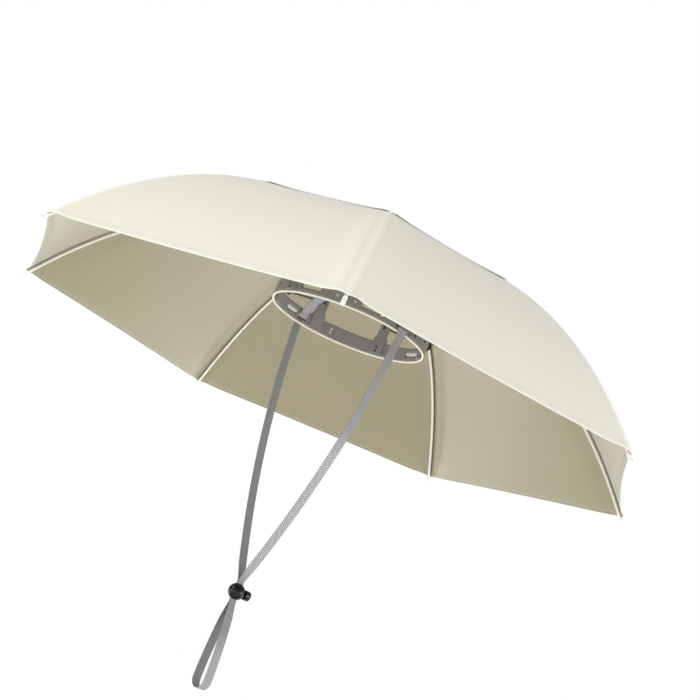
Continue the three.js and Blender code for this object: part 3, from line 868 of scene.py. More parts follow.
def ridge(r, width, from_rib):
    """How far the cloth stands over its flat panel beside a rib: the panel falls away from the rib, and
    the cloth's stiffness eases that slope out near it."""
    hollow = PANEL_SAG * (r / CANOPY_RADIUS) ** 2
    slope = np.abs(dome_slope(r))
    falls = (math.sin(HALF_PANEL) + 4 * hollow / width) * slope / np.hypot(1, slope)
    return falls * from_rib * np.exp(-((from_rib / RIDGE_WIDTH) ** 2))


def edge_run(before, last):
    """A step of one cloth thickness past an edge, for every column."""
    run = last - before
    return run / np.linalg.norm(run, axis=1, keepdims=True) * CLOTH_THICKNESS


def add_cloth_maps(mesh, column, row, at_row, at_width):
    """Two UV maps in metres: threads lies along the weave, and seams gives the way to the nearest
    rib and the way in from the rim."""
    rows = len(at_row)
    panel, place = np.divmod(column, len(COLUMNS))
    shares = np.append(COLUMNS, 1.0)
    starts = np.arange(len(mesh.polygons)) * 4
    along_threads = np.zeros((len(mesh.loops), 2))
    from_seams = np.zeros((len(mesh.loops), 2))
    for corner, (dc, dr) in enumerate(((0, 0), (0, 1), (1, 1), (1, 0))):
        t = shares[place + dc]
        i = (row + dr) % rows
        along_threads[starts + corner, 0] = (t - 0.5) * at_width[i] + panel
        along_threads[starts + corner, 1] = at_row[i]
        from_seams[starts + corner, 0] = np.minimum(t, 1 - t) * at_width[i]
        from_seams[starts + corner, 1] = at_row.max() - at_row[i]
    for name, places in (("threads", along_threads), ("seams", from_seams)):
        layer = mesh.uv_layers.new(name=name)
        layer.uv.foreach_set("vector", places.astype(np.float32).ravel())


def on_the_dome(r, shares):
    return np.zeros((len(shares), len(r)))


canopy, canopy_length, canopy_area = cloth_shell(
    "canopy_cloth", VENT_HOLE_RADIUS, CANOPY_RADIUS, on_the_dome, 44, HEM_THICKNESS, 0
)
TOP_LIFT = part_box("vent_canopy")[1].z - float(dome_height(0.0))
VENT_MOUTH = 4.6 * MM
VENT_RIM_LIFT = 0.64 * MM
VENT_TAB_LIFT = 1.9 * MM
VENT_HEM_THICKNESS = 0.05 * MM
VENT_SETTLES_FROM = 45 * MM


def over_the_vent(r, shares):
    """The upper canopy lies high over the hub, rests on its tabs at the ribs, and settles between them."""
    between = np.sin(np.pi * np.asarray(shares))[:, None] ** 0.7
    at_rim = VENT_TAB_LIFT + (VENT_RIM_LIFT - VENT_TAB_LIFT) * between
    down = soft_step((r - VENT_SETTLES_FROM) / (VENT_RADIUS - VENT_SETTLES_FROM))[None, :]
    return TOP_LIFT + (at_rim - TOP_LIFT) * down


vent, vent_length, vent_area = cloth_shell(
    "vent_cloth", VENT_MOUTH, VENT_RADIUS, over_the_vent, 26, VENT_HEM_THICKNESS, len(HEM_SHARES)
)
for cloth, node, reach, area in (
    (canopy, "canopy", canopy_length + VENT_HOLE_RADIUS, canopy_area),
    (vent, "vent_canopy", vent_length, vent_area),
):
    ride_on_hat(cloth, "cloth", node)

# %% [markdown]
# Hems are sewn with a row of thread. Each stitch is a small spindle that follows the cloth, and all
# of one row are joined into one mesh. A texture could show the stitches, but a close view would find
# them flat.

# %% Hem stitches
STITCH_PITCH = 3.2 * MM
STITCH_LENGTH = 2.5 * MM
STITCH_RADIUS = 0.22 * MM
STITCH_SHARES = ((-0.5, 0.25), (-0.35, 0.9), (0.35, 0.9), (0.5, 0.25))
STITCH_SIDES = 5
STITCH_MARGIN = 1.2 * MM


def spindle(middle, along, away):
    """The rings of one stitch."""
    third = along.cross(away)
    rings = []
    for share, girth in STITCH_SHARES:
        centre = middle + along * (share * STITCH_LENGTH)
        for j in range(STITCH_SIDES):
            a = 2 * math.pi * j / STITCH_SIDES
            offset = math.cos(a) * away + math.sin(a) * third
            rings.append(centre + offset * girth * STITCH_RADIUS)
    return rings


def stitch_row(name, r, lift, depth):
    """Stitches all round a canopy at one reach, at a depth under its outer face."""
    points = []
    faces = []
    width = 2 * r * math.sin(HALF_PANEL)
    count = int(width / STITCH_PITCH)
    shares = (np.arange(count) + 0.5) / count
    nudge = 0.2 / count
    one = ring_faces(len(STITCH_SHARES), STITCH_SIDES)
    one.append(tuple(reversed(range(STITCH_SIDES))))
    one.append(tuple(range(3 * STITCH_SIDES, 4 * STITCH_SIDES)))
    from_rib = np.minimum(shares, 1 - shares)[:, None] * width
    at = depth - lift(np.array([r]), shares) - ridge(r, width, from_rib)
    for k in range(PANELS):
        here = panel_points(k, shares, np.array([r]), at)[:, 0]
        there = panel_points(k, shares + nudge, np.array([r]), at)[:, 0]
        lower = panel_points(k, shares, np.array([r - 1 * MM]), at)[:, 0]
        for a, b, c in zip(here, there, lower):
            along = Vector(b - a).normalized()
            away = along.cross(Vector(c - a)).normalized()
            start = len(points)
            points += spindle(Vector(a), along, away)
            faces += [tuple(start + v for v in face) for face in one]
    mesh = mesh_from(name, points, faces)
    mesh.materials.append(thread_finish)
    return mesh


def hem_stitches(name, outer, lift, hem_thickness):
    inset = (HEM_WIDTH - STITCH_MARGIN) / math.hypot(1, dome_slope(outer))
    over = stitch_row(name, outer - inset, lift, -hem_thickness)
    under = stitch_row(name, outer - inset, lift, CLOTH_THICKNESS + hem_thickness)
    mesh = merged(name, [over, under])
    mesh.materials.append(thread_finish)
    return ride_on_hat(new_piece(name, mesh), "cloth")


for sewn in (
    hem_stitches("canopy_stitches", CANOPY_RADIUS, on_the_dome, HEM_THICKNESS),
    hem_stitches("vent_stitches", VENT_RADIUS, over_the_vent, VENT_HEM_THICKNESS),
):
    print(sewn.name, "faces:", len(sewn.data.polygons))

# %% [markdown]
# ## The ribs and their end caps
# A rib is a round rod bent to the dome. In the frame it has eight flat sides; here it is swept with
# more, along the same line. A curve with a bevel would be as round, but a mesh is plainer. The white
# cap at its end is turned like a small thimble, with a collar round its mouth.

# %% Ribs and caps
RIB_RADIUS = 1.7 * MM
RIB_SIDES = 16
RIB_STEPS = 60
RIB_INNER = 12.3 * MM
RIB_OUTER = 427.5 * MM
RIB_DEPTH = 3.286 * MM
CAP_START = 421.3 * MM
CAP_RADIUS = 2.3 * MM
CAP_LENGTH = 11.5 * MM
CAP_SIDES = 24
CAP_OUTLINE = [
    (0, 0.02),
    (0.74, 0.02),
    (0.78, 0),
    (1, 0.03),
    (1, 0.2),
    (0.86, 0.24),
    (0.86, 0.32),
    (1, 0.36),
    (1, 0.8),
    (0.93, 0.9),
    (0.72, 0.97),
    (0.4, 1),
    (0, 1),
]


def rib(k):
    reaches = np.linspace(RIB_INNER, RIB_OUTER, RIB_STEPS)
    centres = [along_rib(k, r, RIB_DEPTH) for r in reaches]
    section = circle(RIB_RADIUS, RIB_SIDES)
    return finished(swept(f"rib_rod_{k + 1}", centres, around(rib_angle(k)), section), rib_finish)


def towards(start, end):
    """A matrix that takes +Z at the origin to the line from start to end."""
    turn = (end - start).to_track_quat("Z", "Y")
    return Matrix.Translation(start) @ turn.to_matrix().to_4x4()


def cap(k):
    outline = [(x * CAP_RADIUS, y * CAP_LENGTH) for x, y in CAP_OUTLINE]
    mesh = turned(f"cap_{k + 1}", outline, CAP_SIDES)
    start = along_rib(k, CAP_START, RIB_DEPTH)
    end = along_rib(k, CAP_START + CAP_LENGTH, RIB_DEPTH)
    return finished(moved(mesh, towards(start, end)), white_plastic)


for k in range(PANELS):
    ride_on_hat(rib(k), "rib", f"rib_{k + 1}")
    ride_on_hat(cap(k), "white_trim", f"rib_cap_{k + 1}")
print("ribs:", PANELS)

# %% [markdown]
# ## Carving
# Some moulded pieces are a simple body with slots and holes cut out of it. A Boolean modifier does the
# cutting. It is settled into the mesh at once, so that the piece that is handed over is a plain mesh,
# and the edges that the cut leaves are softened by a narrow bevel before it is settled.

# %% Helper that carves a mesh
CARVED_EDGE = 0.25 * MM


def settled(piece):
    """The piece's mesh with its modifiers worked in, as a mesh of its own. The piece goes."""
    depsgraph = bpy.context.evaluated_depsgraph_get()
    mesh = bpy.data.meshes.new_from_object(piece.evaluated_get(depsgraph))
    mesh.name = piece.name
    bpy.data.objects.remove(piece)
    smooth(mesh)
    return mesh


def carved(name, mesh, cutters, edge=CARVED_EDGE):
    """The mesh with the cutters' bodies taken away and its edges softened."""
    body = new_piece(name, mesh)
    tools = []
    for cutter in cutters:
        tool = new_piece("cutter", cutter)
        cut = body.modifiers.new("cut", "BOOLEAN")
        cut.operation = "DIFFERENCE"
        cut.solver = "EXACT"
        cut.object = tool
        tools.append(tool)
    bevel = body.modifiers.new("edge", "BEVEL")
    bevel.width = edge
    bevel.segments = 2
    bevel.limit_method = "ANGLE"
    bevel.angle_limit = math.radians(40)
    mesh = settled(body)
    for tool in tools:
        bpy.data.objects.remove(tool)
    return mesh


def block(size, middle, radius=0.0):
    """A box of a size about a middle, with its upright edges rounded."""
    outline = rounded_box(size[0], size[1], radius) if radius else [
        (x * size[0] / 2, y * size[1] / 2) for x, y in ((-1, -1), (1, -1), (1, 1), (-1, 1))
    ]
    low = [Vector((x, y, -size[2] / 2)) + Vector(middle) for x, y in outline]
    high = [Vector((x, y, size[2] / 2)) + Vector(middle) for x, y in outline]
    return capped_rings("block", [low, high])


def cylinder(radius, length, start, end_direction, sides):
    """A plain round rod from start, along a direction."""
    outline = [(0, 0), (radius, 0), (radius, length), (0, length)]
    return moved(turned("rod", outline, sides), towards(start, start + end_direction))


print("carving is ready")

# %% [markdown]
# ## Clamps and stretchers
# A black moulded clamp sits on each rib, and a thin black rod braces it from the head ring. The
# clamp is a channel that closes round the rod of the rib, with two ears below it. Each part of it is
# a flat outline with a thickness, so the outlines say what it is: the channel's end view and the
# ear's side view. The rod's ends are flattened into eyes and pinned, as such rods are.

# %% Clamps
CLAMP_REACH = 239 * MM
CLAMP_LENGTH = 15 * MM
CLAMP_WALL = 2 * MM
CLAMP_GAP = 0.35 * MM
CLEVIS_LENGTH = 8 * MM
CLEVIS_DEPTH = 8 * MM
CLEVIS_WIDTH = 9.5 * MM
CLEVIS_SLOT = 3.8 * MM
PIN_RADIUS = 1.3 * MM
CLAMP_BORE = RIB_RADIUS + CLAMP_GAP
CLAMP_HALF = CLAMP_BORE + CLAMP_WALL


def channel_outline():
    """The clamp seen along its rib: a block with a round bore that is open at the top."""
    lip = RIB_RADIUS * 0.45
    opening = math.asin(lip / CLAMP_BORE)
    arc = [
        (CLAMP_BORE * math.cos(a), CLAMP_BORE * math.sin(a))
        for a in np.linspace(opening, -math.pi - opening, 19)
    ]
    corner = 1.2 * MM
    shell = rounded(
        [
            (-CLAMP_HALF, lip, 0.4 * MM),
            (-CLAMP_HALF, -CLAMP_HALF, corner),
            (CLAMP_HALF, -CLAMP_HALF, corner),
            (CLAMP_HALF, lip, 0.4 * MM),
        ]
    )
    return shell + [Vector(p) for p in arc]


def ear_outline():
    """One ear seen from its side, hanging under the clamp with a round foot."""
    foot = CLEVIS_LENGTH / 2 - 0.05 * MM
    top = -CLAMP_HALF + CLAMP_WALL / 2
    low = -CLAMP_HALF - CLEVIS_DEPTH
    half = CLEVIS_LENGTH / 2
    flare = 2 * MM
    return rounded([(-half - flare, top, 0), (-half, top - flare, flare), (-half, low, foot),
                    (half, low, foot), (half, top - flare, flare), (half + flare, top, 0)], 8)


def frame_on_rib(k, r, depth=RIB_DEPTH):
    """A matrix with x along the rib, outwards, y across it and z up, at a point of the rib."""
    here = along_rib(k, r, depth)
    ahead = (along_rib(k, r + 1 * MM, depth) - here).normalized()
    a = rib_angle(k)
    side = Vector((-math.sin(a), math.cos(a), 0))
    return Matrix.Translation(here) @ Matrix((ahead, side, ahead.cross(side))).transposed().to_4x4()


def clamp(k):
    end_view = Matrix(((0, 0, 1, 0), (1, 0, 0, 0), (0, 1, 0, 0), (0, 0, 0, 1)))
    side_view = Matrix(((1, 0, 0, 0), (0, 0, -1, 0), (0, 1, 0, 0), (0, 0, 0, 1)))
    parts = [moved(plate("channel", [channel_outline()], CLAMP_LENGTH, 0.3 * MM), end_view)]
    ear_width = (CLEVIS_WIDTH - CLEVIS_SLOT) / 2
    for side in (-1, 1):
        ear = moved(plate("ear", [ear_outline()], ear_width, 0.35 * MM), side_view)
        parts.append(moved(ear, Matrix.Translation((0, side * (CLEVIS_SLOT + ear_width) / 2, 0))))
    pin_start = Vector((0, -CLEVIS_WIDTH / 2 - 0.4 * MM, -CLAMP_HALF - CLEVIS_DEPTH / 2))
    pin = [(0, 0), (0.8, 0), (1, 0.25 * MM / PIN_RADIUS)]
    length = CLEVIS_WIDTH + 0.8 * MM
    outline = [(x * PIN_RADIUS, y * PIN_RADIUS) for x, y in pin]
    outline += [(x, length - y) for x, y in reversed(outline)]
    parts.append(moved(turned("pin", outline, 20), towards(pin_start, pin_start + Vector((0, 1, 0)))))
    mesh = merged(f"clamp_{k + 1}", parts)
    return finished(moved(mesh, frame_on_rib(k, CLAMP_REACH)), black_plastic)


for k in range(PANELS):
    ride_on_hat(clamp(k), "black_fitting", f"rib_clamp_{k + 1}")
print("clamp half width:", round(CLAMP_HALF / MM, 2), "mm")

# %% Stretchers
STRETCHER_RADIUS = 1.6 * MM
POST_MIDDLE = 97.7 * MM
POST_TOP = 45.8 * MM
POST_SLOT_DEPTH = 8 * MM
EYE_LENGTH = 9 * MM
EYE_THICKNESS = 1.1 * MM
EYE_HEIGHT = 2.3 * MM


def stretcher_ends(k):
    half = CLAMP_HALF + 0.05 * MM
    upper = along_rib(k, CLAMP_REACH, RIB_DEPTH + half + 0.3 * MM + CLEVIS_DEPTH / 2)
    a = rib_angle(k)
    height = POST_TOP - POST_SLOT_DEPTH / 2
    return Vector((POST_MIDDLE * math.cos(a), POST_MIDDLE * math.sin(a), height)), upper


def stretcher(k):
    """A rod whose two ends are pressed flat into round eyes."""
    lower, upper = stretcher_ends(k)
    line = upper - lower
    length = line.length
    ahead = line.normalized()
    side = around(rib_angle(k))
    over = side.cross(ahead)
    rings = []
    places = [-EYE_HEIGHT * math.cos(t) for t in np.linspace(0, math.pi / 2, 6)]
    places += [EYE_LENGTH * s for s in (0.35, 0.55, 0.7, 0.85, 1)]
    stations = places + [length - s for s in reversed(places)]
    for s in stations:
        to_end = min(s, length - s)
        flat = 1 - float(soft_step((to_end - 0.45 * EYE_LENGTH) / (0.55 * EYE_LENGTH)))
        round_end = math.sqrt(max(0.0, 1 - min(0.0, to_end / EYE_HEIGHT) ** 2))
        wide = STRETCHER_RADIUS + (EYE_THICKNESS - STRETCHER_RADIUS) * flat
        high = (STRETCHER_RADIUS + (EYE_HEIGHT - STRETCHER_RADIUS) * flat) * max(round_end, 0.05)
        rings.append([lower + ahead * s + side * (x * wide) + over * (y * high) for x, y in circle(1, 16)])
    return finished(capped_rings(f"brace_{k + 1}", rings), black_paint)


for k in range(PANELS):
    ride_on_hat(stretcher(k), "stretcher", f"stretcher_{k + 1}")
print("stretcher length:", round((stretcher_ends(0)[1] - stretcher_ends(0)[0]).length, 4))

# %% [markdown]
# ## Hub, ferrule and tabs
# The inner ends of the ribs lie in the slots of a white moulded hub under the cloth. On top a grey
# ferrule with a dimple closes the middle; the dimple is painted dark, as shade in its hollow. Both are
# turned shapes, and the hub's slots are part of its outline. The corners of the upper canopy are held
# down by short white bands along the ribs, which are sewn at both ends.

# %% Hub and ferrule
HUB_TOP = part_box("hub")[1].z
HUB_DEPTH = HUB_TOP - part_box("hub")[0].z
HUB_RADIUS = 24 * MM
HUB_CORE_RADIUS = 12 * MM
HUB_SLOT_TOP = dome_point(HUB_RADIUS, RIB_DEPTH)[1] + RIB_RADIUS + 0.6 * MM
STEM_RADIUS = 3.7 * MM
FERRULE_RADIUS = 12.4 * MM
FERRULE_HEIGHT = 6.5 * MM
DIMPLE_RADIUS = 4.2 * MM
DIMPLE_DEPTH = 2.2 * MM


def hub_outline(slotted):
    """The hub seen from above. Between the slots its rim is an arc."""
    if not slotted:
        return [Vector(p) for p in circle(HUB_RADIUS, 84)]
    half = RIB_RADIUS + 0.3 * MM
    outer = math.asin(half / HUB_RADIUS)
    inner = math.asin(half / HUB_CORE_RADIUS)
    outline = []
    for k in range(PANELS):
        a = rib_angle(k)
        b = rib_angle(k + 1)
        outline += [Vector((math.cos(t), math.sin(t))) * HUB_CORE_RADIUS for t in (a - inner, a + inner)]
        outline += [Vector((math.cos(t), math.sin(t))) * HUB_RADIUS
                    for t in np.linspace(a + outer, b - outer, 12)]
    return outline


def hub():
    stem = [Vector(p) for p in circle(STEM_RADIUS, 32)]
    slotted_depth = float(HUB_SLOT_TOP) - (HUB_TOP - HUB_DEPTH)
    cover_depth = HUB_DEPTH - slotted_depth
    lower = plate("spokes", [hub_outline(True), stem], slotted_depth, 0.5 * MM)
    upper = plate("cover", [hub_outline(False), stem], cover_depth + 0.6 * MM, 0.5 * MM)
    low_middle = HUB_TOP - HUB_DEPTH + slotted_depth / 2
    lower = moved(lower, Matrix.Translation((0, 0, low_middle)))
    upper = moved(upper, Matrix.Translation((0, 0, HUB_TOP - cover_depth / 2 - 0.3 * MM)))
    return finished(merged("rib_hub", [lower, upper]), white_plastic)


def ferrule():
    """A domed button with a rolled rim, a dimple and a stem. The dimple is painted dark, as shade in its
    hollow.
    """
    low, high = (corner.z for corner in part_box("ferrule"))
    foot = high - FERRULE_HEIGHT
    shoulder = [
        (
            FERRULE_RADIUS * (1 - 0.32 * (1 - math.cos(t))),
            foot + FERRULE_HEIGHT * (0.32 + 0.68 * math.sin(t)),
        )
        for t in np.linspace(0, math.pi / 2, 9)
    ]
    lip = 0.5 * MM
    outline = [(0, low), (3.1 * MM, low), (3.4 * MM, low + lip), (3.4 * MM, foot)]
    outline += [(FERRULE_RADIUS - 0.4 * MM, foot), (FERRULE_RADIUS, foot + 0.4 * MM)] + shoulder
    rim = len(outline)
    outline += [
        (DIMPLE_RADIUS + lip, high),
        (DIMPLE_RADIUS + 0.1 * MM, high - 0.15 * MM),
        (DIMPLE_RADIUS - 0.1 * MM, high - lip),
        (DIMPLE_RADIUS * 0.8, high - DIMPLE_DEPTH * 0.9),
        (DIMPLE_RADIUS * 0.6, high - DIMPLE_DEPTH),
        (0, high - DIMPLE_DEPTH),
    ]
    mesh = painted(turned("top_ferrule", outline, 64), ring_plastic, painted_shade)
    inside = outline[rim + 2][0] + 0.05 * MM
    for face in mesh.polygons:
        in_dimple = face.center.z > high - DIMPLE_DEPTH - lip and face.center.xy.length < inside
        face.material_index = int(in_dimple)
    return new_piece("top_ferrule", mesh)


ride_on_hat(hub(), "white_trim", "hub")
ride_on_hat(ferrule(), "ring_plastic", "ferrule")
print("hub depth:", round(HUB_DEPTH / MM, 2), "mm")

# %% Vent tabs
TAB_LENGTH = 14 * MM
TAB_WIDTH = 4.5 * MM
TAB_THICKNESS = 0.4 * MM
TAB_LIFT = 0.55 * MM
TACK_RADIUS = 0.12 * MM


def vent_tab(k):
    """A woven band bent to the dome, with a bar of thread at each end."""
    reaches = np.linspace(VENT_RADIUS - TAB_LENGTH / 2, VENT_RADIUS + TAB_LENGTH / 2, 15)
    centres = [along_rib(k, r, -TAB_LIFT) for r in reaches]
    a = rib_angle(k)
    sideways = Vector((-math.sin(a), math.cos(a), 0))
    section = rounded_box(TAB_WIDTH, TAB_THICKNESS, TAB_THICKNESS * 0.45)
    parts = [painted(swept("band", centres, sideways, section), white_plastic)]
    for r in (reaches[2], reaches[-3]):
        middle = along_rib(k, r, -TAB_LIFT - TAB_THICKNESS / 2)
        ends = [middle + sideways * (s * TAB_WIDTH * 0.4) for s in (-1, 1)]
        line = [ends[0].lerp(ends[1], t) for t in np.linspace(0, 1, 5)]
        up = frame_on_rib(k, r).to_3x3() @ Vector((0, 0, 1))
        parts.append(painted(swept("bar_tack", line, up, circle(TACK_RADIUS, 8)), white_plastic))
    mesh = merged(f"vent_band_{k + 1}", parts)
    return new_piece(mesh.name, painted(mesh, white_plastic))


for k in range(PANELS):
    ride_on_hat(vent_tab(k), "white_trim", f"vent_tab_{k + 1}")
print("tabs:", PANELS)

# %% [markdown]
# ## The head ring
# The ring is a moulded band with a post at each rib. Laid out flat, the band is a long strip with
# notches, windows and slots in it, so it is drawn flat, cut into short lengths so that it can bend,
# and wrapped round the axis. Drawing it round from the start would need a Boolean for every opening,
# and the flat outline gives each opening a rounded edge for nothing.

# %% Band, laid flat and wrapped
RING_RADIUS = 99.5 * MM
RING_WALL = 2.6 * MM
BAND_FOOT = 3.8 * MM
BAND_HEIGHT = 17 * MM
RAIL_HEIGHT = 5 * MM
SEAM_ANGLE = -90.0
NOTCHES = [(-80, -64), (-34, -20)]
WINDOWS = [(187, 198), (72, 87)]
WINDOW_SILL = 6 * MM
WINDOW_HEIGHT = 5 * MM
STRAP_SLOT_WIDTH = 13.6 * MM
STRAP_SLOT_FOOT = 1.6 * MM
STRAP_SLOT_HEIGHT = 7.6 * MM
BEND_STEP = 2.0
BAND_BEVEL = 0.9 * MM


def along_band(angle):
    """The way along the flat band to an angle in degrees."""
    return math.radians((angle - SEAM_ANGLE) % 360) * RING_RADIUS


def band_outlines():
    corner = 1.5 * MM
    top = [(0, BAND_HEIGHT, 0)]
    for low, high in NOTCHES:
        a = along_band(low)
        b = along_band(high)
        top += [(a, BAND_HEIGHT, corner), (a, RAIL_HEIGHT, corner),
                (b, RAIL_HEIGHT, corner), (b, BAND_HEIGHT, corner)]
    end = 2 * math.pi * RING_RADIUS
    top += [(end, BAND_HEIGHT, 0), (end, 0, 0), (0, 0, 0)]
    outlines = [rounded(list(reversed(top)))]
    for low, high in WINDOWS:
        a = along_band(low)
        b = along_band(high)
        middle = ((a + b) / 2, WINDOW_SILL + WINDOW_HEIGHT / 2)
        outlines.append(rounded_box(b - a, WINDOW_HEIGHT, 1 * MM, *middle))
    for angle in (0, 180):
        middle = (along_band(angle), STRAP_SLOT_FOOT + STRAP_SLOT_HEIGHT / 2)
        outlines.append(rounded_box(STRAP_SLOT_WIDTH, STRAP_SLOT_HEIGHT, 1 * MM, *middle))
    return outlines


def wrapped_band():
    flat = plate("band", band_outlines(), RING_WALL, BAND_BEVEL)
    work = bmesh.new()
    work.from_mesh(flat)
    for step in range(1, int(360 / BEND_STEP)):
        cut = Vector((math.radians(step * BEND_STEP) * RING_RADIUS, 0, 0))
        everything = work.verts[:] + work.edges[:] + work.faces[:]
        bmesh.ops.bisect_plane(work, geom=everything, plane_co=cut, plane_no=(1, 0, 0))
    middle = RING_RADIUS - RING_WALL / 2
    for vertex in work.verts:
        s, height, proud = vertex.co
        a = math.radians(SEAM_ANGLE) + s / RING_RADIUS
        r = middle + proud
        vertex.co = (r * math.cos(a), r * math.sin(a), BAND_FOOT + height)
    bmesh.ops.remove_doubles(work, verts=work.verts, dist=1e-6)
    bmesh.ops.recalc_face_normals(work, faces=work.faces)
    work.to_mesh(flat)
    work.free()
    smooth(flat)
    return flat


# %% [markdown]
# The posts stand at the ribs. Each is a shouldered plate whose head is forked for the brace, with a
# pin through the fork. Small screws and moulded holes sit where the real ring shows them; the holes and
# the hollows of the screw heads are painted dark, as shade.

# %% Posts, screws and pits
POST_WIDTH = 17 * MM
POST_NECK_WIDTH = 12 * MM
POST_SHOULDER = 25 * MM
POST_HEIGHT = 42 * MM
POST_DEPTH = 6 * MM
POST_BEVEL = 0.7 * MM
POST_SLOT_WIDTH = 3.8 * MM
POST_PIN_RADIUS = 1.1 * MM


def post_outline():
    """A post seen from outside the ring. The fork's slot is part of its outline."""
    half = POST_WIDTH / 2
    neck = POST_NECK_WIDTH / 2
    slot = POST_SLOT_WIDTH / 2
    slot_foot = POST_HEIGHT - POST_SLOT_DEPTH
    slope = 3 * MM
    right_side = [
        (half, 0.2 * MM, 0.6 * MM),
        (half, POST_SHOULDER - slope, 2 * MM),
        (neck, POST_SHOULDER, 2 * MM),
        (neck, POST_HEIGHT, 2 * MM),
        (slot, POST_HEIGHT, 0.8 * MM),
        (slot, slot_foot, 1.5 * MM),
    ]
    return rounded(right_side + [(-x, y, r) for x, y, r in reversed(right_side)])


def at_ring(angle, radius, height):
    """A matrix with x along the ring, y upwards and z outwards, at an angle in degrees."""
    a = math.radians(angle)
    out = Vector((math.cos(a), math.sin(a), 0))
    tangent = Vector((-math.sin(a), math.cos(a), 0))
    turn = Matrix((tangent, Vector((0, 0, 1)), out)).transposed().to_4x4()
    return Matrix.Translation(out * radius + Vector((0, 0, height))) @ turn


def post(k):
    angle = math.degrees(rib_angle(k))
    flat = plate("post", [post_outline()], POST_DEPTH, POST_BEVEL)
    body = moved(flat, at_ring(angle, POST_MIDDLE, BAND_FOOT))
    pin_half = POST_NECK_WIDTH / 2 + 0.25 * MM
    outline = [(0, -pin_half), (POST_PIN_RADIUS * 0.8, -pin_half), (POST_PIN_RADIUS, -pin_half + 0.2 * MM),
               (POST_PIN_RADIUS, pin_half - 0.2 * MM), (POST_PIN_RADIUS * 0.8, pin_half), (0, pin_half)]
    along = Matrix.Rotation(math.pi / 2, 4, "Y")
    height = POST_TOP - POST_SLOT_DEPTH / 2
    pin = moved(turned("post_pin", outline, 16), at_ring(angle, POST_MIDDLE, height) @ along)
    return [painted(body, ring_plastic), painted(pin, ring_plastic)]


SCREW_RADIUS = 1.7 * MM
SCREWS = [
    {"angle": -51.4, "height": 10.75 * MM, "radius": RING_RADIUS, "outwards": True},
    {"angle": -38.5, "height": 10.75 * MM, "radius": 100.7 * MM, "outwards": True},
    {"angle": 154, "height": 14.75 * MM, "radius": RING_RADIUS - RING_WALL, "outwards": False},
    {"angle": 154, "height": 9.75 * MM, "radius": RING_RADIUS - RING_WALL, "outwards": False},
]
# The pits are painted dark all over, as shade in the holes.
PITS = [
    {"angle": 13.2, "height": 8.9 * MM, "radius": 100.7 * MM, "outwards": True},
    {"angle": 30.5, "height": 13.8 * MM, "radius": RING_RADIUS, "outwards": True},
    {"angle": -92.3, "height": 12.6 * MM, "radius": 100.7 * MM, "outwards": True},
    {"angle": -91.6, "height": 8.3 * MM, "radius": 100.7 * MM, "outwards": True},
    {"angle": -87.2, "height": 10.4 * MM, "radius": 100.7 * MM, "outwards": True},
    {"angle": -107.9, "height": 13.5 * MM, "radius": RING_RADIUS, "outwards": True},
    {"angle": 116, "height": 13.75 * MM, "radius": 94.7 * MM, "outwards": False},
    {"angle": 116, "height": 8.45 * MM, "radius": 94.7 * MM, "outwards": False},
]
BAND_BACK = RING_RADIUS - RING_WALL
# Dark strips of painted shade along the edges of the strap slots.
SLOT_SHADOWS = [
    {"angle": 180, "height": 8.2 * MM, "width": 12.5 * MM, "rise": 1.6 * MM, "radius": BAND_BACK},
    {"angle": 0, "height": 8.2 * MM, "width": 12.5 * MM, "rise": 1.6 * MM, "radius": BAND_BACK},
    {"angle": -4.9, "height": 11 * MM, "width": 2 * MM, "rise": 12 * MM, "radius": RING_RADIUS},
    {"angle": 184.9, "height": 11 * MM, "width": 2 * MM, "rise": 12 * MM, "radius": RING_RADIUS},
]
SCREW_OUTLINE = [(0, -0.4), (1, -0.4), (1, 0.15), (0.85, 0.34), (0.5, 0.42), (0.42, 0.2), (0, 0.2)]
PIT_OUTLINE = [(0, -0.4), (1, -0.4), (1, 0.1), (0.9, 0.2), (0.78, 0.2), (0.7, 0.02), (0, 0.02)]


def fitting(place, outline, material, hollow_shade, floor_share):
    """A small turned piece on the ring. Its middle takes another material, the painted shade of its hollow.
    """
    points = [(x * SCREW_RADIUS, y * SCREW_RADIUS) for x, y in outline]
    mesh = painted(turned("fitting", points, 20), material, hollow_shade)
    for face in mesh.polygons:
        face.material_index = int(face.center.z > 0 and face.center.xy.length < floor_share * SCREW_RADIUS)
    matrix = at_ring(place["angle"], place["radius"], place["height"])
    if not place["outwards"]:
        matrix = matrix @ Matrix.Rotation(math.pi, 4, "Y")
    return moved(mesh, matrix)


def join_painted(name, meshes):
    """One mesh out of several that keep their own materials."""
    materials = []
    work = bmesh.new()
    for mesh in meshes:
        first = len(work.faces)
        work.from_mesh(mesh)
        work.faces.ensure_lookup_table()
        slots = []
        for material in mesh.materials:
            if material not in materials:
                materials.append(material)
            slots.append(materials.index(material))
        for face in work.faces[first:]:
            face.material_index = slots[face.material_index]
    joined = bpy.data.meshes.new(name)
    work.to_mesh(joined)
    work.free()
    smooth(painted(joined, *materials))
    return joined


# %% [markdown]
# In each window a light wavy spring lies across the opening, and a lug sticks out beside the first
# post. Both are swept wires and small plates.

# %% Window springs and the ring as one piece
SPRING_RADIUS = 0.75 * MM
SPRING_WAVE = 1.3 * MM
SPRING_TURNS = 3.5


def window_spring(low, high):
    """A wavy wire from one side of a window to the other."""
    centres = []
    radius = RING_RADIUS - RING_WALL * 0.6
    height = BAND_FOOT + WINDOW_SILL + WINDOW_HEIGHT / 2
    for t in np.linspace(0, 1, 57):
        a = math.radians(low + (high - low) * t)
        wave = SPRING_WAVE * math.sin(2 * math.pi * SPRING_TURNS * t)
        centres.append(Vector((radius * math.cos(a), radius * math.sin(a), height + wave)))
    middle = math.radians((low + high) / 2)
    outwards = Vector((math.cos(middle), math.sin(middle), 0))
    return painted(swept("spring", centres, outwards, circle(SPRING_RADIUS, 8)), white_plastic)


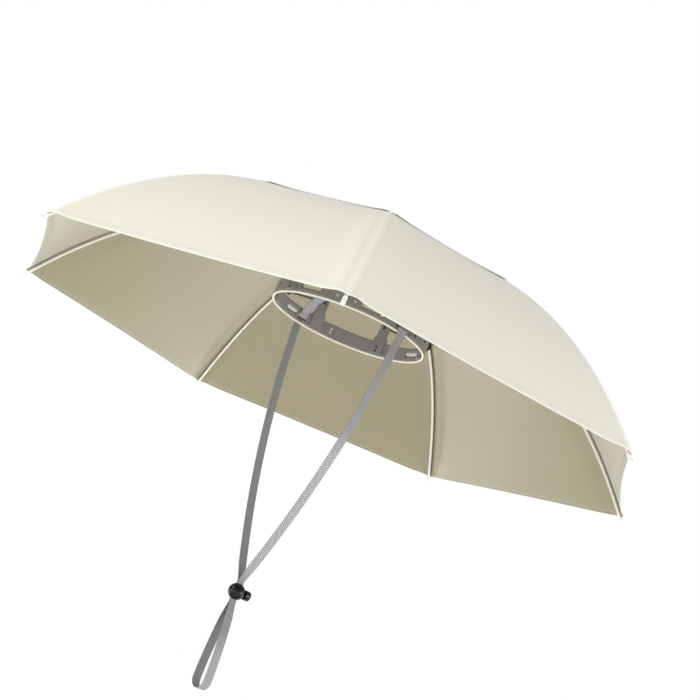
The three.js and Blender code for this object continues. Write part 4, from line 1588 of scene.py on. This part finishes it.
def bump(angle, height, width, rise, depth):
    """A small rounded lug on the outside of the band."""
    outline = rounded_box(width, rise, min(width, rise) * 0.4)
    mesh = plate("lug", [outline], depth, 0.4 * MM)
    return painted(moved(mesh, at_ring(angle, RING_RADIUS + depth / 2 - 0.5 * MM, height)), screw_metal)


def lip(place):
    """A dark strip beside a strap slot: painted shade along the slot's edge."""
    outline = rounded_box(place["width"], place["rise"], 0.5 * MM)
    mesh = plate("lip", [outline], 0.8 * MM, 0.2 * MM)
    return painted(moved(mesh, at_ring(place["angle"], place["radius"], place["height"])), painted_shade)


def shade_upward_faces(band):
    """The band's faces that look upwards get little light under the canopy, so they are painted dark as
    shade.
    """
    painted(band, ring_plastic, painted_shade)
    for face in band.polygons:
        face.material_index = int(0.15 < face.normal.z and face.center.z > BAND_FOOT + 2 * MM)
    return band


ring_parts = [shade_upward_faces(wrapped_band())]
ring_parts += [lip(place) for place in SLOT_SHADOWS]
for k in range(PANELS):
    ring_parts += post(k)
ring_parts += [fitting(place, SCREW_OUTLINE, screw_metal, painted_shade, 0.4) for place in SCREWS]
ring_parts += [fitting(place, PIT_OUTLINE, painted_shade, painted_shade, 0.72) for place in PITS]
ring_parts += [window_spring(low, high) for low, high in WINDOWS]
ring_parts.append(bump(-18.5, 11 * MM, 5 * MM, 6 * MM, 1.6 * MM))
head_ring = new_piece("moulded_ring", join_painted("moulded_ring", ring_parts))
ride_on_hat(head_ring, "ring_plastic", "head_ring")
print("ring triangles:", sum(len(face.vertices) - 2 for face in head_ring.data.polygons))

# %% [markdown]
# A cream bead runs round the foot of the band. It is a torus, made as a grid that closes both ways.

# %% Piping
PIPING_RADIUS = 1.25 * MM
PIPING_REACH = 98.2 * MM
PIPING_HEIGHT = 2.3 * MM
PIPING_STEPS = 180


def piping():
    points = []
    for i in range(PIPING_STEPS):
        a = 2 * math.pi * i / PIPING_STEPS
        for x, y in circle(PIPING_RADIUS, 14):
            r = PIPING_REACH + x
            points.append((r * math.cos(a), r * math.sin(a), PIPING_HEIGHT + y))
    mesh = mesh_from("ring_bead", points, ring_faces(PIPING_STEPS, 14, closed=True))
    return finished(mesh, bead_finish)


ride_on_hat(piping(), "white_trim", "ring_piping")

# %% [markdown]
# ## The strap
# One band of flat webbing makes the whole loop: over the crown, out through the slots of the ring,
# down both cheeks, through the cord lock and round in a loop below it. Flat webbing keeps its shape,
# so it is modelled directly: the route is repeated from the frame's, drawn through with a smooth
# curve, and a section with rounded edges is swept along it. A UV map in metres carries the weave.

# %% Route of the strap
WEBBING_WIDTH = 12 * MM
WEBBING_THICKNESS = 1.4 * MM
PINCHED_WIDTH = 9.2 * MM
PINCH_START = 2 * MM
PINCH_END = 26 * MM
LOCK_DROP = 343 * MM
LOCK_RADIUS = 10.2 * MM
LOOP_LENGTH = 109 * MM
LOOP_HALF = 11 * MM
LOOP_FULLNESS = 0.95
LOOP_LEAN = 5 * MM
LEG_BOW = 16.5 * MM
CROWN_RISE = 42 * MM
CROWN_END = (RING_RADIUS - RING_WALL - 1.7 * MM, 11.7 * MM)
SLOT_PASS = (RING_RADIUS + 1.9 * MM, 6.9 * MM)
LEG_START_DROP = 3 * MM
BESIDE = 0.85 * MM
LEG_END = (2.05 * MM, -LOCK_DROP + LOCK_RADIUS + 6 * MM)
LOOP_TOP = -LOCK_DROP - LOCK_RADIUS - 1 * MM
STRAP_SPACING = 1.5 * MM


def half_route():
    """Half of the loop, from the top of the crown to the lowest point, as (x, z)."""
    points = [
        (CROWN_END[0] * math.sin(a), CROWN_END[1] + CROWN_RISE * math.cos(a))
        for a in np.linspace(0, math.pi / 2, 15)
    ]
    points.append(SLOT_PASS)
    leg_top = (SLOT_PASS[0], SLOT_PASS[1] - LEG_START_DROP)
    for t in np.linspace(0, 1, 12):
        x, z = np.array(leg_top) * (1 - t) + np.array(LEG_END) * t
        points.append((x + LEG_BOW * 4 * t * (1 - t), z))
    loop_foot = -LOCK_DROP - LOCK_RADIUS - LOOP_LENGTH
    points += [(BESIDE, -LOCK_DROP + LOCK_RADIUS + 1 * MM), (BESIDE, LOOP_TOP)]
    for t in np.linspace(0, 1, 10)[1:]:
        bulge = math.sin(t * math.pi / 2) ** LOOP_FULLNESS
        z = LOOP_TOP + (loop_foot + LOOP_HALF - LOOP_TOP) * t
        points.append((BESIDE + (LOOP_HALF - BESIDE) * bulge, z))
    for a in np.linspace(0, math.pi / 2, 7)[1:]:
        points.append((LOOP_HALF * math.cos(a), loop_foot + LOOP_HALF - LOOP_HALF * math.sin(a)))
    return points


def smooth_loop(points, spacing):
    """Points at an even spacing on a Catmull-Rom curve through a closed loop."""
    loop = np.array(points)
    before = np.roll(loop, 1, 0)
    after = np.roll(loop, -1, 0)
    beyond = np.roll(loop, -2, 0)
    fine = []
    for t in np.linspace(0, 1, 24, endpoint=False):
        fine.append(
            0.5
            * (
                2 * loop
                + (after - before) * t
                + (2 * before - 5 * loop + 4 * after - beyond) * t**2
                + (3 * loop - before - 3 * after + beyond) * t**3
            )
        )
    fine = np.stack(fine, 1).reshape(-1, 2)
    closed = np.vstack([fine, fine[:1]])
    way = np.concatenate([[0], np.cumsum(np.linalg.norm(np.diff(closed, axis=0), axis=1))])
    count = int(way[-1] / spacing)
    places = np.arange(count) * way[-1] / count
    return np.stack([np.interp(places, way, closed[:, i]) for i in (0, 1)], 1), way[-1]


right_half = half_route()
left_half = [(-x, z) for x, z in reversed(right_half[1:-1])]
whole_route = [
    (x + LOOP_LEAN * max(0.0, LOOP_TOP - z) / LOOP_LENGTH, z) for x, z in right_half + left_half
]
strap_line, strap_length = smooth_loop(whole_route, STRAP_SPACING)
print("strap loop:", round(strap_length, 3), "m, points:", len(strap_line))

# %% Webbing
SELVEDGE = 0.55 * MM
WEBBING_SHARES = [-1, -0.94, -0.8, -0.5, -0.2, 0, 0.2, 0.5, 0.8, 0.94, 1]


def strap_width(z):
    from_lock = abs(z + LOCK_DROP) - LOCK_RADIUS
    wide = float(soft_step((from_lock - PINCH_START) / (PINCH_END - PINCH_START)))
    return PINCHED_WIDTH + (WEBBING_WIDTH - PINCHED_WIDTH) * wide


def webbing_section(width):
    """Points round the webbing: (across, half thickness), first over the outer face, then the inner."""
    half = width / 2
    over = []
    for share in WEBBING_SHARES:
        edge = min(1.0, (1 - abs(share)) * half / SELVEDGE)
        over.append((share * half, WEBBING_THICKNESS / 2 * math.sqrt(1 - (1 - edge) ** 2) * 0.96))
    return over + [(x, -y) for x, y in reversed(over[1:-1])]


def strap():
    ahead = np.roll(strap_line, -1, 0) - np.roll(strap_line, 1, 0)
    ahead /= np.linalg.norm(ahead, axis=1, keepdims=True)
    outwards = np.stack([-ahead[:, 1], ahead[:, 0]], 1)
    points = []
    across = []
    for (x, z), (nx, nz) in zip(strap_line, outwards):
        for y, out in webbing_section(strap_width(z)):
            points.append((x + nx * out, y, z + nz * out))
            across.append(y)
    sides = 2 * len(WEBBING_SHARES) - 2
    rings = len(strap_line)
    mesh = mesh_from("strap_webbing", points, ring_faces(rings, sides, closed=True))
    layer = mesh.uv_layers.new(name="threads")
    step = strap_length / rings
    places = np.zeros((len(mesh.loops), 2))
    for face in mesh.polygons:
        ring, side = divmod(face.index, sides)
        for loop in face.loop_indices:
            vertex = mesh.loops[loop].vertex_index
            places[loop, 0] = across[vertex]
            far = vertex // sides != ring
            places[loop, 1] = (ring + int(far)) * step
        middle = strap_line[ring]
        over_crown = middle[1] > 8 * MM
        inner = side >= len(WEBBING_SHARES) - 1
        face.material_index = int(inner and not over_crown)
    layer.uv.foreach_set("vector", places.astype(np.float32).ravel())
    painted(mesh, webbing_face, webbing_back)
    mesh.shade_smooth()
    return new_piece("strap_webbing", mesh)


ride_on_hat(strap(), "webbing", "strap")
for label, z in (("strap width:", 0), ("at the lock:", -LOCK_DROP)):
    print(label, round(strap_width(z) / MM, 1), "mm")

# %% [markdown]
# ## The cord lock
# The lock is a polished black ball, cut flat above and below, with a slot for the two layers of
# webbing and a bore for its button. The button slides in that bore, so it is a piece of its own and
# rides on its own body. Its round face has fine grip rings, which are steps in the turned outline.

# %% Lock body and button
LOCK_FLAT = 9.4 * MM
BUTTON_RADIUS = 6 * MM
STEM_OF_BUTTON = 3.9 * MM
BUTTON_HEAD = 8 * MM
BORE_CLEARANCE = 0.3 * MM
BORE_FLOOR = 4.6 * MM
LOCK_SLOT = (3.7 * MM, 9.8 * MM)
LOCK_SLOT_CORNER = 1.2 * MM
LOCK_EDGE = 0.4 * MM
GRIP_RINGS = (3.6 * MM, 2.4 * MM, 1.2 * MM)
LOCK_CENTRE = Vector((0, 0, -LOCK_DROP))


def lock_body():
    steps = np.linspace(-math.pi / 2, math.pi / 2, 49)
    outline = [(LOCK_RADIUS * math.cos(t), LOCK_RADIUS * math.sin(t)) for t in steps]
    outline[0] = (0, -LOCK_RADIUS)
    outline[-1] = (0, LOCK_RADIUS)
    ball = turned("ball", outline, 96)
    seat = math.sqrt(LOCK_RADIUS**2 - BUTTON_RADIUS**2)
    huge = 4 * LOCK_RADIUS
    cutters = [
        block((huge, huge, huge), (0, 0, LOCK_FLAT + huge / 2)),
        block((huge, huge, huge), (0, 0, -LOCK_FLAT - huge / 2)),
        block((huge, huge, huge), (0, seat + huge / 2, 0)),
        block((*LOCK_SLOT, huge), (0, 0, 0), LOCK_SLOT_CORNER),
        cylinder(STEM_OF_BUTTON + BORE_CLEARANCE, huge, Vector((0, BORE_FLOOR, 0)), Vector((0, 1, 0)), 48),
    ]
    mesh = carved("lock_ball", ball, cutters, LOCK_EDGE)
    return new_piece("lock_ball", painted(moved(mesh, Matrix.Translation(LOCK_CENTRE)), gloss_black))


def lock_button():
    """The button, turned round +Y, with rings pressed into its face."""
    low, high = (corner.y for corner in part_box("lock_button"))
    face = high - BUTTON_HEAD
    edge = 1.4 * MM
    outline = [(0, low), (STEM_OF_BUTTON - 0.3 * MM, low), (STEM_OF_BUTTON, low + 0.3 * MM)]
    outline += [(STEM_OF_BUTTON, face), (BUTTON_RADIUS - 0.4 * MM, face), (BUTTON_RADIUS, face + 0.4 * MM)]
    outline += [
        (BUTTON_RADIUS - edge * (1 - math.cos(t)), high - edge * (1 - math.sin(t)))
        for t in np.linspace(0, math.pi / 2, 7)
    ]
    for radius in GRIP_RINGS:
        for step, drop in ((0.35, 0.0), (0.2, 0.3), (-0.2, 0.3), (-0.35, 0.0)):
            outline.append((radius + step * MM, high - drop * MM))
    outline.append((0, high))
    turn = Matrix.Rotation(-math.pi / 2, 4, "X")
    mesh = moved(turned("lock_push", outline, 64), Matrix.Translation(LOCK_CENTRE) @ turn)
    return new_piece("lock_push", painted(mesh, gloss_black))


ride_on_hat(lock_body(), "lock_plastic", "lock_body")
button = lock_button()
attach(button, "button")
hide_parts("lock_button")
print("lock ball:", round(2 * LOCK_RADIUS / MM, 1), "mm")
